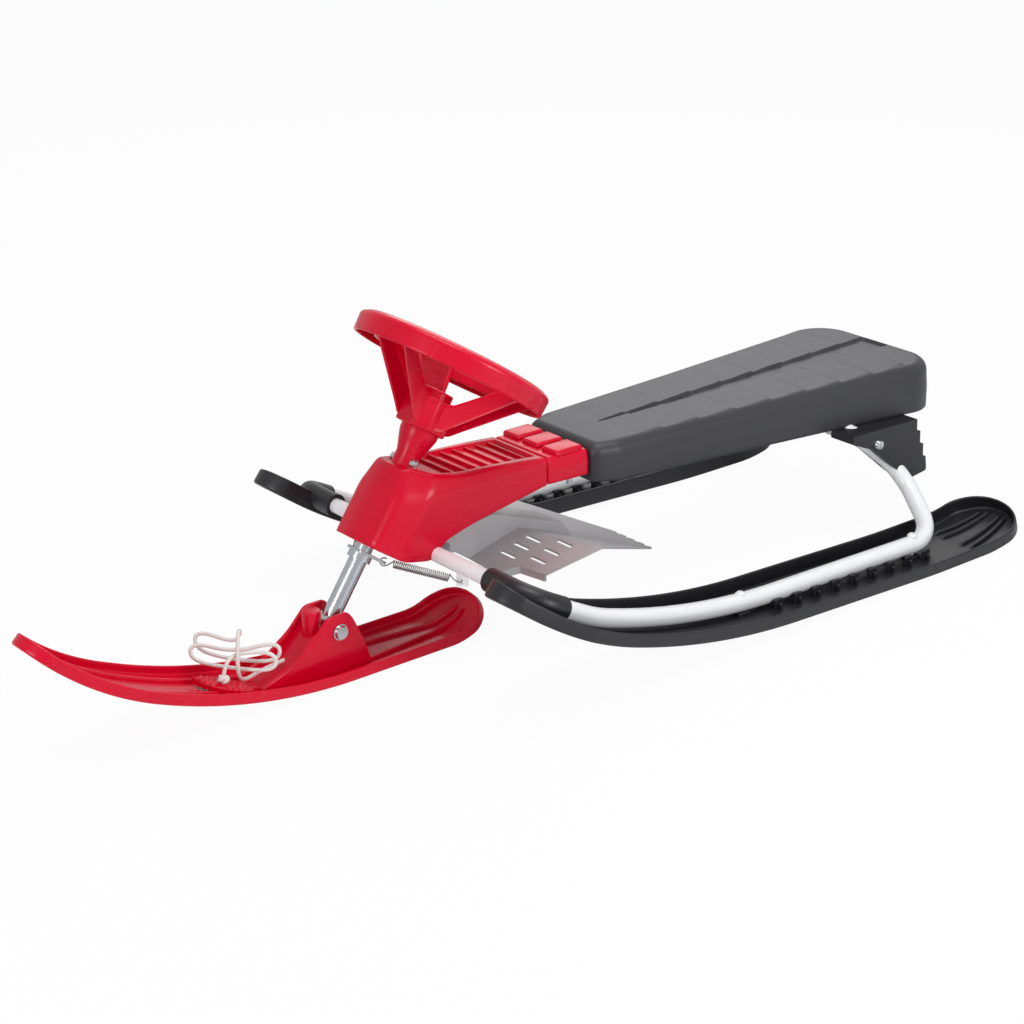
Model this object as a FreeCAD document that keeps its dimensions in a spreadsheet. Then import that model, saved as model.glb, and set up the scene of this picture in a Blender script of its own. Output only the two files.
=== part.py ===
import FreeCAD, Part

import math
import os

import Sketcher
from FreeCAD import Placement, Rotation, Vector

# Steering sled: two fixed rear skis on a bent tube frame, a seat, a console, a hinged foot brake
# and a steered front ski under a raked shaft. Frame: +X forward, +Y left, +Z up, floor at z = 0.

doc = FreeCAD.newDocument("SteeringSled")
sheet = doc.addObject("Spreadsheet::Sheet", "Sizes")

# Driving dimensions in millimetres and degrees, grouped by sub-assembly.
SIZES = {
    # Rear ski, side curve from tail to nose
    "rear_tail_x": -585.0,
    "rear_tail_z": 18.96,
    "rear_tail_bend": 200.0,
    "rear_tail_turn": 25.15,
    "rear_flat": 60.0,
    "rear_ease_bend": 1500.0,
    "rear_ease_turn": 2.2,
    "rear_incline": 191.5,
    "rear_mid_bend": 900.0,
    "rear_mid_turn": 14.95,
    "rear_nose_bend": 450.0,
    "rear_nose_turn": 21.77,
    "rear_half_width": 47.0,
    "rear_centre_y": 193.0,
    "rear_wall_rise": 18.4,
    "rear_nose_half_width": 19.0,
    "rear_nose_start_x": 112.0,
    # Front ski
    "front_tail_x": 54.0,
    "front_tail_z": 28.2,
    "front_tail_bend": 80.0,
    "front_tail_turn": 49.7,
    "front_flat": 120.0,
    "front_mid_bend": 600.0,
    "front_mid_turn": 24.1,
    "front_nose_bend": 330.0,
    "front_nose_turn": 22.5,
    "front_half_width": 42.0,
    "front_wall_rise": 12.3,
    "front_nose_half_width": 24.0,
    "front_nose_start_x": 486.0,
    # Both ski mouldings
    "ski_base": 3.0,
    "ski_wall": 3.0,
    # Frame tubes
    "tube_radius": 8.0,
    "tube_wall": 2.0,
    "rail_radius": 10.0,
    "rail_lap": 12.0,
    "cross_x": 136.5,
    "cross_z": 110.0,
    "cross_joint_y": 150.0,
    "corner_bend": 30.0,
    "rail_front_x": 55.1,
    "rail_front_z": 68.5,
    "rail_front_bend": 200.0,
    "rail_mid_x": -79.4,
    "rail_mid_z": 27.0,
    "rail_mid_bend": 885.0,
    "low_tube_x": -462.0,
    "low_tube_z": 18.0,
    "rear_knee_x": -505.0,
    "rear_knee_y": 104.0,
    "rear_knee_z": 64.0,
    "rear_cross_x": -425.0,
    "rear_cross_z": 124.0,
    "rear_cross_y": 100.0,
    "rear_joint_y": 74.0,
    "low_bend": 55.0,
    "knee_bend": 40.0,
    "top_bend": 20.0,
    "spine_width": 19.0,
    "spine_height": 22.0,
    "spine_front_x": 148.0,
    "spine_rear_x": -436.0,
    # Steering column
    "rake": 33.9,
    "column_x": 237.6,
    "column_z": 56.0,
    "pivot_drop": 9.64,
    "shaft_radius": 9.5,
    "shaft_wall": 2.0,
    "shaft_top": 236.0,
    "head_low": 82.0,
    "head_high": 157.0,
    "head_radius": 13.0,
    "head_wall": 1.5,
    "bush_flange": 2.0,
    "running_gap": 0.05,
    "side_gap": 0.5,
    "neck_top": 207.0,
    "neck_radius": 13.0,
    "neck_flare": 20.0,
    "neck_bolt_s": 172.0,
    "neck_bolt_radius": 3.0,
    # Steering wheel
    "wheel_radius": 105.0,
    "wheel_inner": 80.0,
    "wheel_low": 269.0,
    "wheel_high": 293.0,
    "wheel_wall": 3.0,
    "hub_high": 241.0,
    "hub_flat": 26.0,
    "spoke_width": 44.0,
    # Front ski pivot
    "pivot_radius": 4.0,
    "eye_radius": 12.0,
    "eye_half": 17.0,
    "cheek_inner": 17.6,
    "cheek_wall": 4.4,
    "tower_high": 68.0,
    # Return springs
    "bracket_s": 69.5,
    "bracket_plate": 3.0,
    "ear_back": -9.6,
    "ear_side": 20.0,
    "spring_radius": 3.55,
    "spring_wire": 0.7,
    "spring_turns": 28.0,
    "spring_lead": 14.0,
    "hook_radius": 4.0,
    "anchor_y": 84.0,
    "anchor_drop": 16.0,
    # Console
    "console_half": 45.0,
    "console_wall": 3.0,
    "console_joint_x": -10.0,
    "seat_joint_x": -66.5,
    "grille_ribs": 7.0,
    "grille_depth": 4.5,
    # Seat
    "seat_rear_x": -578.0,
    "seat_top": 182.0,
    "seat_edge_round": 12.0,
    "seat_wall": 4.0,
    "seat_channel_depth": 3.5,
    "rim_front_z": 140.0,
    "rim_rear_z": 126.0,
    "boss_radius": 13.0,
    "seat_bolt_radius": 3.0,
    # Rear supports
    "support_inner_y": 84.0,
    "support_width": 34.0,
    # Brake
    "brake_sheet": 2.5,
    "brake_half": 20.0,
    "brake_pivot_x": 112.0,
    "brake_pivot_z": 104.0,
    "brake_pin_radius": 4.0,
    "hanger_plate": 3.0,
    # Pull cord and handle
    "cord_radius": 2.0,
    "handle_half": 31.0,
    "handle_half_width": 11.0,
    "handle_core": 6.0,
    "handle_bar_width": 2.4,
    "handle_bar_height": 9.0,
    "handle_bar_pitch": 5.6,
    "handle_bar_reach": 9.5,
    "knot_radius": 5.5,
}

for row, (alias, number) in enumerate(SIZES.items(), start=1):
    sheet.set("A%d" % row, alias)
    sheet.set("B%d" % row, "%r" % number)
    sheet.setAlias("B%d" % row, alias)
doc.recompute()


def size(alias):
    """Reads one driving dimension from the sheet."""
    return float(sheet.get(alias))


def worth(expression):
    """Evaluates one sheet expression to a plain number."""
    return float(sheet.evalExpression(expression))


# Drawing helpers
def at_plane(plane, shift=0.0):
    """Placement of a drawing plane: XY, XZ (drawn x, z) or YZ (drawn y, z)."""
    turns = {
        "XY": Rotation(),
        "XZ": Rotation(Vector(1, 0, 0), 90),
        "YZ": Rotation(Vector(1, 1, 1), 120),
    }
    normals = {"XY": Vector(0, 0, 1), "XZ": Vector(0, -1, 0), "YZ": Vector(1, 0, 0)}
    return Placement(normals[plane] * shift, turns[plane])


def corner_edges(points):
    """Edges of a closed outline whose corners are (x, y, radius)."""
    count = len(points)
    cuts = []
    for index in range(count):
        here = Vector(points[index][0], points[index][1], 0)
        radius = points[index][2]
        before = points[index - 1]
        after = points[(index + 1) % count]
        back = Vector(before[0], before[1], 0) - here
        ahead = Vector(after[0], after[1], 0) - here
        back.normalize()
        ahead.normalize()
        inner = back.getAngle(ahead)
        if radius <= 0 or abs(math.pi - inner) < 0.001:
            cuts.append((here, None, here))
            continue
        reach = radius / math.tan(inner / 2)
        middle = back + ahead
        middle.normalize()
        centre = here + middle * (radius / math.sin(inner / 2))
        cuts.append((here + back * reach, centre - middle * radius, here + ahead * reach))
    pieces = []
    for index in range(count):
        first, through, last = cuts[index]
        if through is not None:
            pieces.append(("arc", first, through, last))
        following = cuts[(index + 1) % count][0]
        if last.distanceToPoint(following) > 0.001:
            pieces.append(("line", last, following))
    return pieces


def draw(sketch, pieces):
    """Adds joined lines and arcs to a sketch."""
    for piece in pieces:
        if piece[0] == "line":
            sketch.addGeometry(Part.LineSegment(piece[1], piece[2]), False)
        else:
            circle = Part.Arc(piece[1], piece[2], piece[3])
            sketch.addGeometry(circle, False)
    return sketch


def sketch_at(name, plane, pieces, shift=0.0):
    """A free sketch on a drawing plane."""
    sketch = doc.addObject("Sketcher::SketchObject", name)
    sketch.Placement = at_plane(plane, shift)
    return draw(sketch, pieces)


def slab(name, plane, pieces, length, shift=0.0, both=True):
    """Extrudes an outline; the length is a sheet expression."""
    sketch = sketch_at(name + "_outline", plane, pieces, shift)
    solid = doc.addObject("Part::Extrusion", name)
    solid.Base = sketch
    solid.DirMode = "Normal"
    solid.Solid = True
    solid.Symmetric = both
    solid.setExpression("LengthFwd", length)
    return solid


def cut(name, base, tool):
    solid = doc.addObject("Part::Cut", name)
    solid.Base = base
    solid.Tool = tool
    return solid


def common(name, base, tool):
    solid = doc.addObject("Part::Common", name)
    solid.Base = base
    solid.Tool = tool
    return solid


def fuse(name, solids):
    solid = doc.addObject("Part::MultiFuse", name)
    solid.Shapes = solids
    return solid


def mirrored(name, source):
    solid = doc.addObject("Part::Mirroring", name)
    solid.Source = source
    solid.Normal = Vector(0, 1, 0)
    solid.Base = Vector(0, 0, 0)
    return solid


def cylinder(name, radius, length, placement):
    """A cylinder whose radius and length are sheet expressions."""
    solid = doc.addObject("Part::Cylinder", name)
    solid.setExpression("Radius", radius)
    solid.setExpression("Height", length)
    solid.Placement = placement
    return solid


def block(name, length, width, height, corner, turn=None):
    """A box; its three sizes are sheet expressions."""
    solid = doc.addObject("Part::Box", name)
    solid.setExpression("Length", length)
    solid.setExpression("Width", width)
    solid.setExpression("Height", height)
    solid.Placement = Placement(corner, turn or Rotation())
    return solid


def formed(name, shape, placement=None):
    """A solid computed by Part's own functions from sheet values."""
    solid = doc.addObject("Part::Feature", name)
    solid.Shape = shape
    if placement is not None:
        solid.Placement = placement
    return solid


def plane_of(body, role):
    """One origin plane or axis of a body."""
    return [item for item in body.Origin.OriginFeatures if item.Role == role][0]


def bound_outline(sketch, corners):
    """Draws a closed outline whose corner coordinates are bound to sheet expressions."""
    values = [(worth(first), worth(second)) for first, second in corners]
    count = len(corners)
    for index in range(count):
        here = Vector(values[index][0], values[index][1], 0)
        after = values[(index + 1) % count]
        sketch.addGeometry(Part.LineSegment(here, Vector(after[0], after[1], 0)), False)
    for index in range(count):
        joint = (index + 1) % count
        sketch.addConstraint(Sketcher.Constraint("Coincident", index, 2, joint, 1))
    for index, pair in enumerate(corners):
        for kind, rail, text, number in (
            ("DistanceX", -2, pair[0], values[index][0]),
            ("DistanceY", -1, pair[1], values[index][1]),
        ):
            if abs(number) < 1e-9:
                sketch.addConstraint(Sketcher.Constraint("PointOnObject", index, 1, rail))
                continue
            spot = sketch.addConstraint(Sketcher.Constraint(kind, -1, 1, index, 1, number))
            sketch.setExpression("Constraints[%d]" % spot, text)
    return sketch


def turned(name, corners, placement):
    """A turned piece: its half profile (radius, height) is revolved about its own Z axis."""
    body = doc.addObject("PartDesign::Body", name)
    sketch = body.newObject("Sketcher::SketchObject", name + "_profile")
    sketch.AttachmentSupport = (plane_of(body, "XZ_Plane"), [""])
    sketch.MapMode = "FlatFace"
    bound_outline(sketch, corners)
    turn = body.newObject("PartDesign::Revolution", name + "_turn")
    turn.Profile = sketch
    turn.ReferenceAxis = (sketch, ["V_Axis"])
    turn.Angle = 360.0
    body.Placement = placement
    return body


def path_wire(points):
    """A wire of straight runs and tangent bends through (x, y, z, bend radius)."""
    spots = [Vector(*point[:3]) for point in points]
    edges = []
    start = spots[0]
    for index in range(1, len(spots) - 1):
        back = spots[index - 1] - spots[index]
        ahead = spots[index + 1] - spots[index]
        back.normalize()
        ahead.normalize()
        inner = back.getAngle(ahead)
        radius = points[index][3]
        reach = radius / math.tan(inner / 2)
        middle = back + ahead
        middle.normalize()
        through = spots[index] + middle * (radius / math.sin(inner / 2) - radius)
        first = spots[index] + back * reach
        last = spots[index] + ahead * reach
        if start.distanceToPoint(first) > 0.01:
            edges.append(Part.LineSegment(start, first).toShape())
        edges.append(Part.Arc(first, through, last).toShape())
        start = last
    edges.append(Part.LineSegment(start, spots[-1]).toShape())
    return Part.Wire(edges)


def rod_along(wire, radius):
    """A round rod swept along a wire."""
    first = wire.OrderedEdges[0]
    start = first.valueAt(first.FirstParameter)
    heading = first.tangentAt(first.FirstParameter)
    if start.distanceToPoint(wire.OrderedVertexes[0].Point) > 0.01:
        start = first.valueAt(first.LastParameter)
        heading = first.tangentAt(first.LastParameter) * -1
    ring = Part.Wire([Part.makeCircle(radius, start, heading)])
    return wire.makePipeShell([ring], True, False)


# Side curves of the skis
def curve_pieces(start, moves, lift):
    """Walks a side curve (x, z, heading) through its moves, raised square to itself by lift."""
    x, z, heading = start

    def spot():
        return Vector(x - lift * math.sin(heading), z + lift * math.cos(heading), 0)

    pieces = []
    for radius, amount in moves:
        first = spot()
        if radius == 0:
            x += amount * math.cos(heading)
            z += amount * math.sin(heading)
            pieces.append(("line", first, spot()))
            continue
        centre_x = x - radius * math.sin(heading)
        centre_z = z + radius * math.cos(heading)
        halves = []
        for _ in range(2):
            heading += math.radians(amount) / 2
            x = centre_x + radius * math.sin(heading)
            z = centre_z - radius * math.cos(heading)
            halves.append(spot())
        pieces.append(("arc", first, halves[0], halves[1]))
    return pieces


def reversed_pieces(pieces):
    """The same curve walked the other way."""
    return [(piece[0],) + tuple(reversed(piece[1:])) for piece in reversed(pieces)]


def band(start, moves, low, high):
    """Closed outline between two raised copies of a side curve."""
    lower = curve_pieces(start, moves, low)
    upper = reversed_pieces(curve_pieces(start, moves, high))
    ends = [("line", lower[-1][-1], upper[0][1])]
    back = [("line", upper[-1][-1], lower[0][1])]
    return lower + ends + upper + back


REAR_START = (size("rear_tail_x"), size("rear_tail_z"), -math.radians(size("rear_tail_turn")))
REAR_MOVES = [
    (size("rear_tail_bend"), size("rear_tail_turn")),
    (0, size("rear_flat")),
    (size("rear_ease_bend"), size("rear_ease_turn")),
    (0, size("rear_incline")),
    (size("rear_mid_bend"), size("rear_mid_turn")),
    (size("rear_nose_bend"), size("rear_nose_turn")),
]
FRONT_START = (size("front_tail_x"), size("front_tail_z"), -math.radians(size("front_tail_turn")))
FRONT_MOVES = [
    (size("front_tail_bend"), size("front_tail_turn")),
    (0, size("front_flat")),
    (size("front_mid_bend"), size("front_mid_turn")),
    (size("front_nose_bend"), size("front_nose_turn")),
]
REAR_NOSE = curve_pieces(REAR_START, REAR_MOVES, 0)[-1][-1]
FRONT_NOSE = curve_pieces(FRONT_START, FRONT_MOVES, 0)[-1][-1]


def rear_plan(inset):
    """Plan outline of the left rear ski, drawn inwards by inset."""
    centre = size("rear_centre_y")
    half = size("rear_half_width") - inset
    tip = size("rear_nose_half_width") - inset
    tail = size("rear_tail_x") + inset
    nose = REAR_NOSE.x - inset
    bend = size("rear_nose_start_x")
    return corner_edges([
        (tail, centre - half, half - 7),
        (bend, centre - half, 60),
        (nose, centre - tip, tip - 3),
        (nose, centre + tip, tip - 3),
        (bend, centre + half, 60),
        (tail, centre + half, half - 7),
    ])


def front_plan(inset):
    """Plan outline of the front ski, drawn inwards by inset."""
    half = size("front_half_width") - inset
    tip = size("front_nose_half_width") - inset
    tail = size("front_tail_x") + inset
    nose = FRONT_NOSE.x - inset
    bend = size("front_nose_start_x")
    return corner_edges([
        (tail, -half, half - 5),
        (bend, -half, 90),
        (nose, -tip, tip - 4),
        (nose, tip, tip - 4),
        (bend, half, 90),
        (tail, half, half - 5),
    ])


def ski_shell(name, start, moves, plan, rise):
    """A channel moulding: curved base with a wall all round."""
    wide = "2 * (Sizes.rear_centre_y + Sizes.rear_half_width + 20)"
    outer_side = slab(name + "_side", "XZ", band(start, moves, 0, rise), wide)
    base_side = slab(name + "_base_side", "XZ", band(start, moves, 0, size("ski_base")), wide)
    outer_plan = slab(name + "_plan", "XY", plan(0), "400", -50, False)
    inner_plan = slab(name + "_room_plan", "XY", plan(size("ski_wall")), "400", -50, False)
    ring_plan = cut(name + "_ring_plan", outer_plan, inner_plan)
    ring = common(name + "_ring", outer_side, ring_plan)
    base = common(name + "_base", base_side, outer_plan)
    return fuse(name + "_shell", [base, ring]), inner_plan


def rib_set(name, start, moves, strips, low, high, hollow):
    """Low ribs standing on a ski's base, one for each plan strip."""
    wide = "2 * (Sizes.rear_centre_y + Sizes.rear_half_width + 20)"
    side = slab(name + "_side", "XZ", band(start, moves, low, high), wide)
    plans = [
        slab("%s_strip%d" % (name, index), "XY", corner_edges(strip), "400", -50, False)
        for index, strip in enumerate(strips)
    ]
    strips_all = fuse(name + "_strips", plans)
    ribs = common(name + "_ribs", side, strips_all)
    return common(name + "_inside", ribs, hollow)


NODES = {}


def keep(node, solid):
    """Registers a finished sub-part; its Label names its file."""
    solid.Label = node
    NODES[node] = solid
    return solid


# Steering column frame: local Z runs up the raked axis, local X square to it and forward
RAKE_TURN = Rotation(Vector(0, 1, 0), -size("rake"))
COLUMN_BASE = Vector(size("column_x"), 0, size("column_z"))
COLUMN = Placement(COLUMN_BASE, RAKE_TURN)
PIVOT = COLUMN.multVec(Vector(0, 0, -size("pivot_drop")))
ACROSS = Rotation(Vector(1, 0, 0), -90)


def on_column(height):
    """Placement on the raked axis at a height along it."""
    return COLUMN.multiply(Placement(Vector(0, 0, height), Rotation()))


def across_column(back, side, height):
    """Placement with Z along +Y at a spot given in the column frame."""
    return COLUMN.multiply(Placement(Vector(back, side, height), ACROSS))


# Frame tubes
TUBE_R = size("tube_radius")
RAIL_R = size("rail_radius")
CROSS = Vector(size("cross_x"), 0, size("cross_z"))
# Each side tube laps over the ends of the two thinner cross tubes
SIDE_ROUTE = [
    (CROSS.x, size("cross_joint_y") - size("rail_lap"), CROSS.z, 0),
    (CROSS.x, size("rear_centre_y"), CROSS.z, size("corner_bend")),
    (size("rail_front_x"), size("rear_centre_y"), size("rail_front_z"), size("rail_front_bend")),
    (size("rail_mid_x"), size("rear_centre_y"), size("rail_mid_z"), size("rail_mid_bend")),
    (size("low_tube_x"), size("rear_centre_y"), size("low_tube_z"), size("low_bend")),
    (size("rear_knee_x"), size("rear_knee_y"), size("rear_knee_z"), size("knee_bend")),
    (size("rear_cross_x"), size("rear_cross_y"), size("rear_cross_z"), size("top_bend")),
    (size("rear_cross_x"), size("rear_joint_y") - size("rail_lap"), size("rear_cross_z"), 0),
]
side_path = path_wire(SIDE_ROUTE)
side_rod = formed("side_rod", rod_along(side_path, RAIL_R))
side_bore = formed("side_bore", rod_along(side_path, TUBE_R))

cross_rod = cylinder("cross_rod", "Sizes.tube_radius", "2 * Sizes.cross_joint_y",
                     Placement(CROSS - Vector(0, size("cross_joint_y"), 0), ACROSS))
cross_bore = cylinder("cross_bore", "Sizes.tube_radius - Sizes.tube_wall",
                      "2 * Sizes.cross_joint_y + 2",
                      Placement(CROSS - Vector(0, size("cross_joint_y") + 1, 0), ACROSS))
keep("cross_tube", cut("cross_tube", cross_rod, cross_bore))

REAR_CROSS = Vector(size("rear_cross_x"), -size("rear_joint_y"), size("rear_cross_z"))
rear_cross_rod = cylinder("rear_cross_rod", "Sizes.tube_radius", "2 * Sizes.rear_joint_y",
                          Placement(REAR_CROSS, ACROSS))
rear_cross_bore = cylinder("rear_cross_bore", "Sizes.tube_radius - Sizes.tube_wall",
                           "2 * Sizes.rear_joint_y + 2",
                           Placement(REAR_CROSS - Vector(0, 1, 0), ACROSS))
keep("rear_cross_tube", cut("rear_cross_tube", rear_cross_rod, rear_cross_bore))

# Spine rail: a rectangular tube resting on the rear cross tube
SPINE_LOW = size("rear_cross_z") + TUBE_R
SPINE_TOP = SPINE_LOW + size("spine_height")
SPINE_LENGTH = "(Sizes.spine_front_x - Sizes.spine_rear_x)"
spine_outer = block("spine_outer", SPINE_LENGTH, "Sizes.spine_width", "Sizes.spine_height",
                    Vector(size("spine_rear_x"), -size("spine_width") / 2, SPINE_LOW))
spine_inner = block("spine_inner", SPINE_LENGTH + " + 4", "Sizes.spine_width - 2 * Sizes.tube_wall",
                    "Sizes.spine_height - 2 * Sizes.tube_wall",
                    Vector(size("spine_rear_x") - 2, -size("spine_width") / 2 + size("tube_wall"),
                           SPINE_LOW + size("tube_wall")))
spine_hollow = cut("spine_hollow", spine_outer, spine_inner)

# Saddle plates: two cheeks that hold the spine on the rear cross tube
SADDLE = [
    (size("rear_cross_x") - 26, SPINE_LOW + 14, 4),
    (size("rear_cross_x") + 26, SPINE_LOW + 14, 4),
    (size("rear_cross_x") + 10, size("rear_cross_z") - 6, 3),
    (size("rear_cross_x") - 10, size("rear_cross_z") - 6, 3),
]
saddle_wide = slab("saddle_wide", "XZ", corner_edges(SADDLE), "Sizes.spine_width + 6")
saddle_gap = block("saddle_gap", "120", "Sizes.spine_width", "120",
                   Vector(size("rear_cross_x") - 60, -size("spine_width") / 2, SPINE_LOW - 60))
saddle_pair = cut("saddle_pair", saddle_wide, saddle_gap)
keep("rear_saddles", cut("rear_saddles", saddle_pair, rear_cross_rod))

# Steering column pieces fixed to the frame
HEAD_SPAN = "(Sizes.head_high - Sizes.head_low)"
head_rod = cylinder("head_rod", "Sizes.head_radius", HEAD_SPAN, on_column(size("head_low")))
keep("head_tube", turned("head_tube", [
    ("Sizes.head_radius - Sizes.head_wall", "0"),
    ("Sizes.head_radius", "0"),
    ("Sizes.head_radius", HEAD_SPAN),
    ("Sizes.head_radius - Sizes.head_wall", HEAD_SPAN),
], on_column(size("head_low"))))

BUSH = [
    ("Sizes.shaft_radius + Sizes.running_gap", "-Sizes.bush_flange"),
    ("Sizes.head_radius + 1", "-Sizes.bush_flange"),
    ("Sizes.head_radius + 1", "0"),
    ("Sizes.head_radius - Sizes.head_wall", "0"),
    ("Sizes.head_radius - Sizes.head_wall", "14"),
    ("Sizes.shaft_radius + Sizes.running_gap", "14"),
]
keep("lower_bush", turned("lower_bush", BUSH, on_column(size("head_low"))))
UPSIDE = Placement(Vector(), Rotation(Vector(1, 0, 0), 180))
keep("upper_bush", turned("upper_bush", BUSH, on_column(size("head_high")).multiply(UPSIDE)))

# Gusset plates between head tube, cross tube and spine
GUSSET = [
    (CROSS.x - 9, CROSS.z - 5, 4),
    (CROSS.x + 12, CROSS.z - 3, 4),
    (COLUMN.multVec(Vector(0, 0, size("head_low") + 4)).x,
     COLUMN.multVec(Vector(0, 0, size("head_low") + 4)).z, 0),
    (COLUMN.multVec(Vector(0, 0, size("head_high") - 12)).x,
     COLUMN.multVec(Vector(0, 0, size("head_high") - 12)).z, 0),
    (118, SPINE_TOP + 6, 6),
    (92, SPINE_TOP - 3, 5),
    (92, SPINE_LOW + 5, 5),
]
gusset_wide = slab("gusset_wide", "XZ", corner_edges(GUSSET), "Sizes.spine_width + 6")
gusset_gap = block("gusset_gap", "260", "Sizes.spine_width", "200",
                   Vector(0, -size("spine_width") / 2, 60))
gusset_pair = cut("gusset_pair", gusset_wide, gusset_gap)
gusset_cross = cut("gusset_cross", gusset_pair, cross_rod)
keep("head_gussets", cut("head_gussets", gusset_cross, head_rod))

# Turning parts of the column
shaft_rod = cylinder("shaft_rod", "Sizes.shaft_radius", "Sizes.shaft_top + Sizes.pivot_drop",
                     on_column(-size("pivot_drop")))
shaft_bore = cylinder("shaft_bore", "Sizes.shaft_radius - Sizes.shaft_wall",
                      "Sizes.shaft_top + Sizes.pivot_drop + 2", on_column(-size("pivot_drop") - 1))
eye_rod = cylinder("eye_rod", "Sizes.eye_radius", "2 * Sizes.eye_half",
                   Placement(PIVOT - Vector(0, size("eye_half"), 0), ACROSS))
shaft_tube = cut("shaft_tube", shaft_rod, shaft_bore)
shaft_foot = cut("shaft_foot", shaft_tube, eye_rod)
neck_drill = cylinder("neck_drill", "Sizes.neck_bolt_radius", "80",
                      across_column(0, -40, size("neck_bolt_s")))
keep("steering_shaft", cut("steering_shaft", shaft_foot, neck_drill))
keep("shaft_eye", turned("shaft_eye", [
    ("Sizes.pivot_radius + Sizes.running_gap", "-Sizes.eye_half"),
    ("Sizes.eye_radius", "-Sizes.eye_half"),
    ("Sizes.eye_radius", "Sizes.eye_half"),
    ("Sizes.pivot_radius + Sizes.running_gap", "Sizes.eye_half"),
], Placement(PIVOT, ACROSS)))

# Neck: a hollow flared collar clamped on the shaft below the wheel's hub
NECK_LOW = "Sizes.head_high + Sizes.bush_flange + Sizes.side_gap"
neck_form = turned("neck_form", [
    ("Sizes.shaft_radius", NECK_LOW),
    ("Sizes.neck_radius", NECK_LOW),
    ("Sizes.neck_radius", "Sizes.neck_bolt_s + 8"),
    ("Sizes.neck_flare - 2", "Sizes.neck_top - 12"),
    ("Sizes.neck_flare", "Sizes.neck_top - 5"),
    ("Sizes.neck_flare", "Sizes.neck_top"),
    ("Sizes.shaft_radius", "Sizes.neck_top"),
], COLUMN)
keep("steering_neck", cut("steering_neck", neck_form, neck_drill))
keep("neck_bolt", turned("neck_bolt", [
    ("0", "-Sizes.neck_radius - 5.5"),
    ("Sizes.neck_bolt_radius + 2", "-Sizes.neck_radius - 5.5"),
    ("Sizes.neck_bolt_radius + 2", "-Sizes.neck_radius"),
    ("Sizes.neck_bolt_radius", "-Sizes.neck_radius"),
    ("Sizes.neck_bolt_radius", "Sizes.neck_radius"),
    ("Sizes.neck_bolt_radius + 2.5", "Sizes.neck_radius"),
    ("Sizes.neck_bolt_radius + 2", "Sizes.neck_radius + 2.6"),
    ("Sizes.neck_bolt_radius", "Sizes.neck_radius + 4"),
    ("0", "Sizes.neck_radius + 4"),
], across_column(0, 0, size("neck_bolt_s"))))

# Steering wheel: hollow rim, three channel spokes and a hub block
wheel = doc.addObject("PartDesign::Body", "wheel")
rim_sketch = wheel.newObject("Sketcher::SketchObject", "rim_profile")
rim_sketch.AttachmentSupport = (plane_of(wheel, "XZ_Plane"), [""])
rim_sketch.MapMode = "FlatFace"
bound_outline(rim_sketch, [
    ("Sizes.wheel_radius - 1", "Sizes.wheel_low"),
    ("Sizes.wheel_radius", "Sizes.wheel_high - 8"),
    ("Sizes.wheel_radius - 2", "Sizes.wheel_high - 3"),
    ("Sizes.wheel_radius - 7", "Sizes.wheel_high"),
    ("Sizes.wheel_inner + 6", "Sizes.wheel_high"),
    ("Sizes.wheel_inner + 1", "Sizes.wheel_high - 4"),
    ("Sizes.wheel_inner", "Sizes.wheel_low + 3"),
    ("Sizes.wheel_inner + Sizes.wheel_wall", "Sizes.wheel_low + 3"),
    ("Sizes.wheel_inner + 8", "Sizes.wheel_high - Sizes.wheel_wall - 1"),
    ("Sizes.wheel_radius - 9", "Sizes.wheel_high - Sizes.wheel_wall - 1"),
    ("Sizes.wheel_radius - 1 - Sizes.wheel_wall", "Sizes.wheel_low"),
])
rim_turn = wheel.newObject("PartDesign::Revolution", "rim_turn")
rim_turn.Profile = rim_sketch
rim_turn.ReferenceAxis = (rim_sketch, ["V_Axis"])
rim_turn.Angle = 360.0


def body_pad(body, name, role, corners, length, middle=True, offset=0.0):
    """A pad in a body from a bound outline; the length is a sheet expression."""
    sketch = body.newObject("Sketcher::SketchObject", name + "_outline")
    sketch.AttachmentSupport = (plane_of(body, role), [""])
    sketch.MapMode = "FlatFace"
    sketch.AttachmentOffset = Placement(Vector(0, 0, offset), Rotation())
    bound_outline(sketch, corners)
    pad = body.newObject("PartDesign::Pad", name)
    pad.Profile = sketch
    pad.Midplane = middle
    pad.setExpression("Length", length)
    return pad


def body_pocket(body, name, role, corners, length, middle=True, offset=0.0):
    """A pocket in a body from a bound outline; the length is a sheet expression."""
    sketch = body.newObject("Sketcher::SketchObject", name + "_outline")
    sketch.AttachmentSupport = (plane_of(body, role), [""])
    sketch.MapMode = "FlatFace"
    sketch.AttachmentOffset = Placement(Vector(0, 0, offset), Rotation())
    bound_outline(sketch, corners)
    pocket = body.newObject("PartDesign::Pocket", name)
    pocket.Profile = sketch
    pocket.Midplane = middle
    pocket.setExpression("Length", length)
    return pocket


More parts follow.
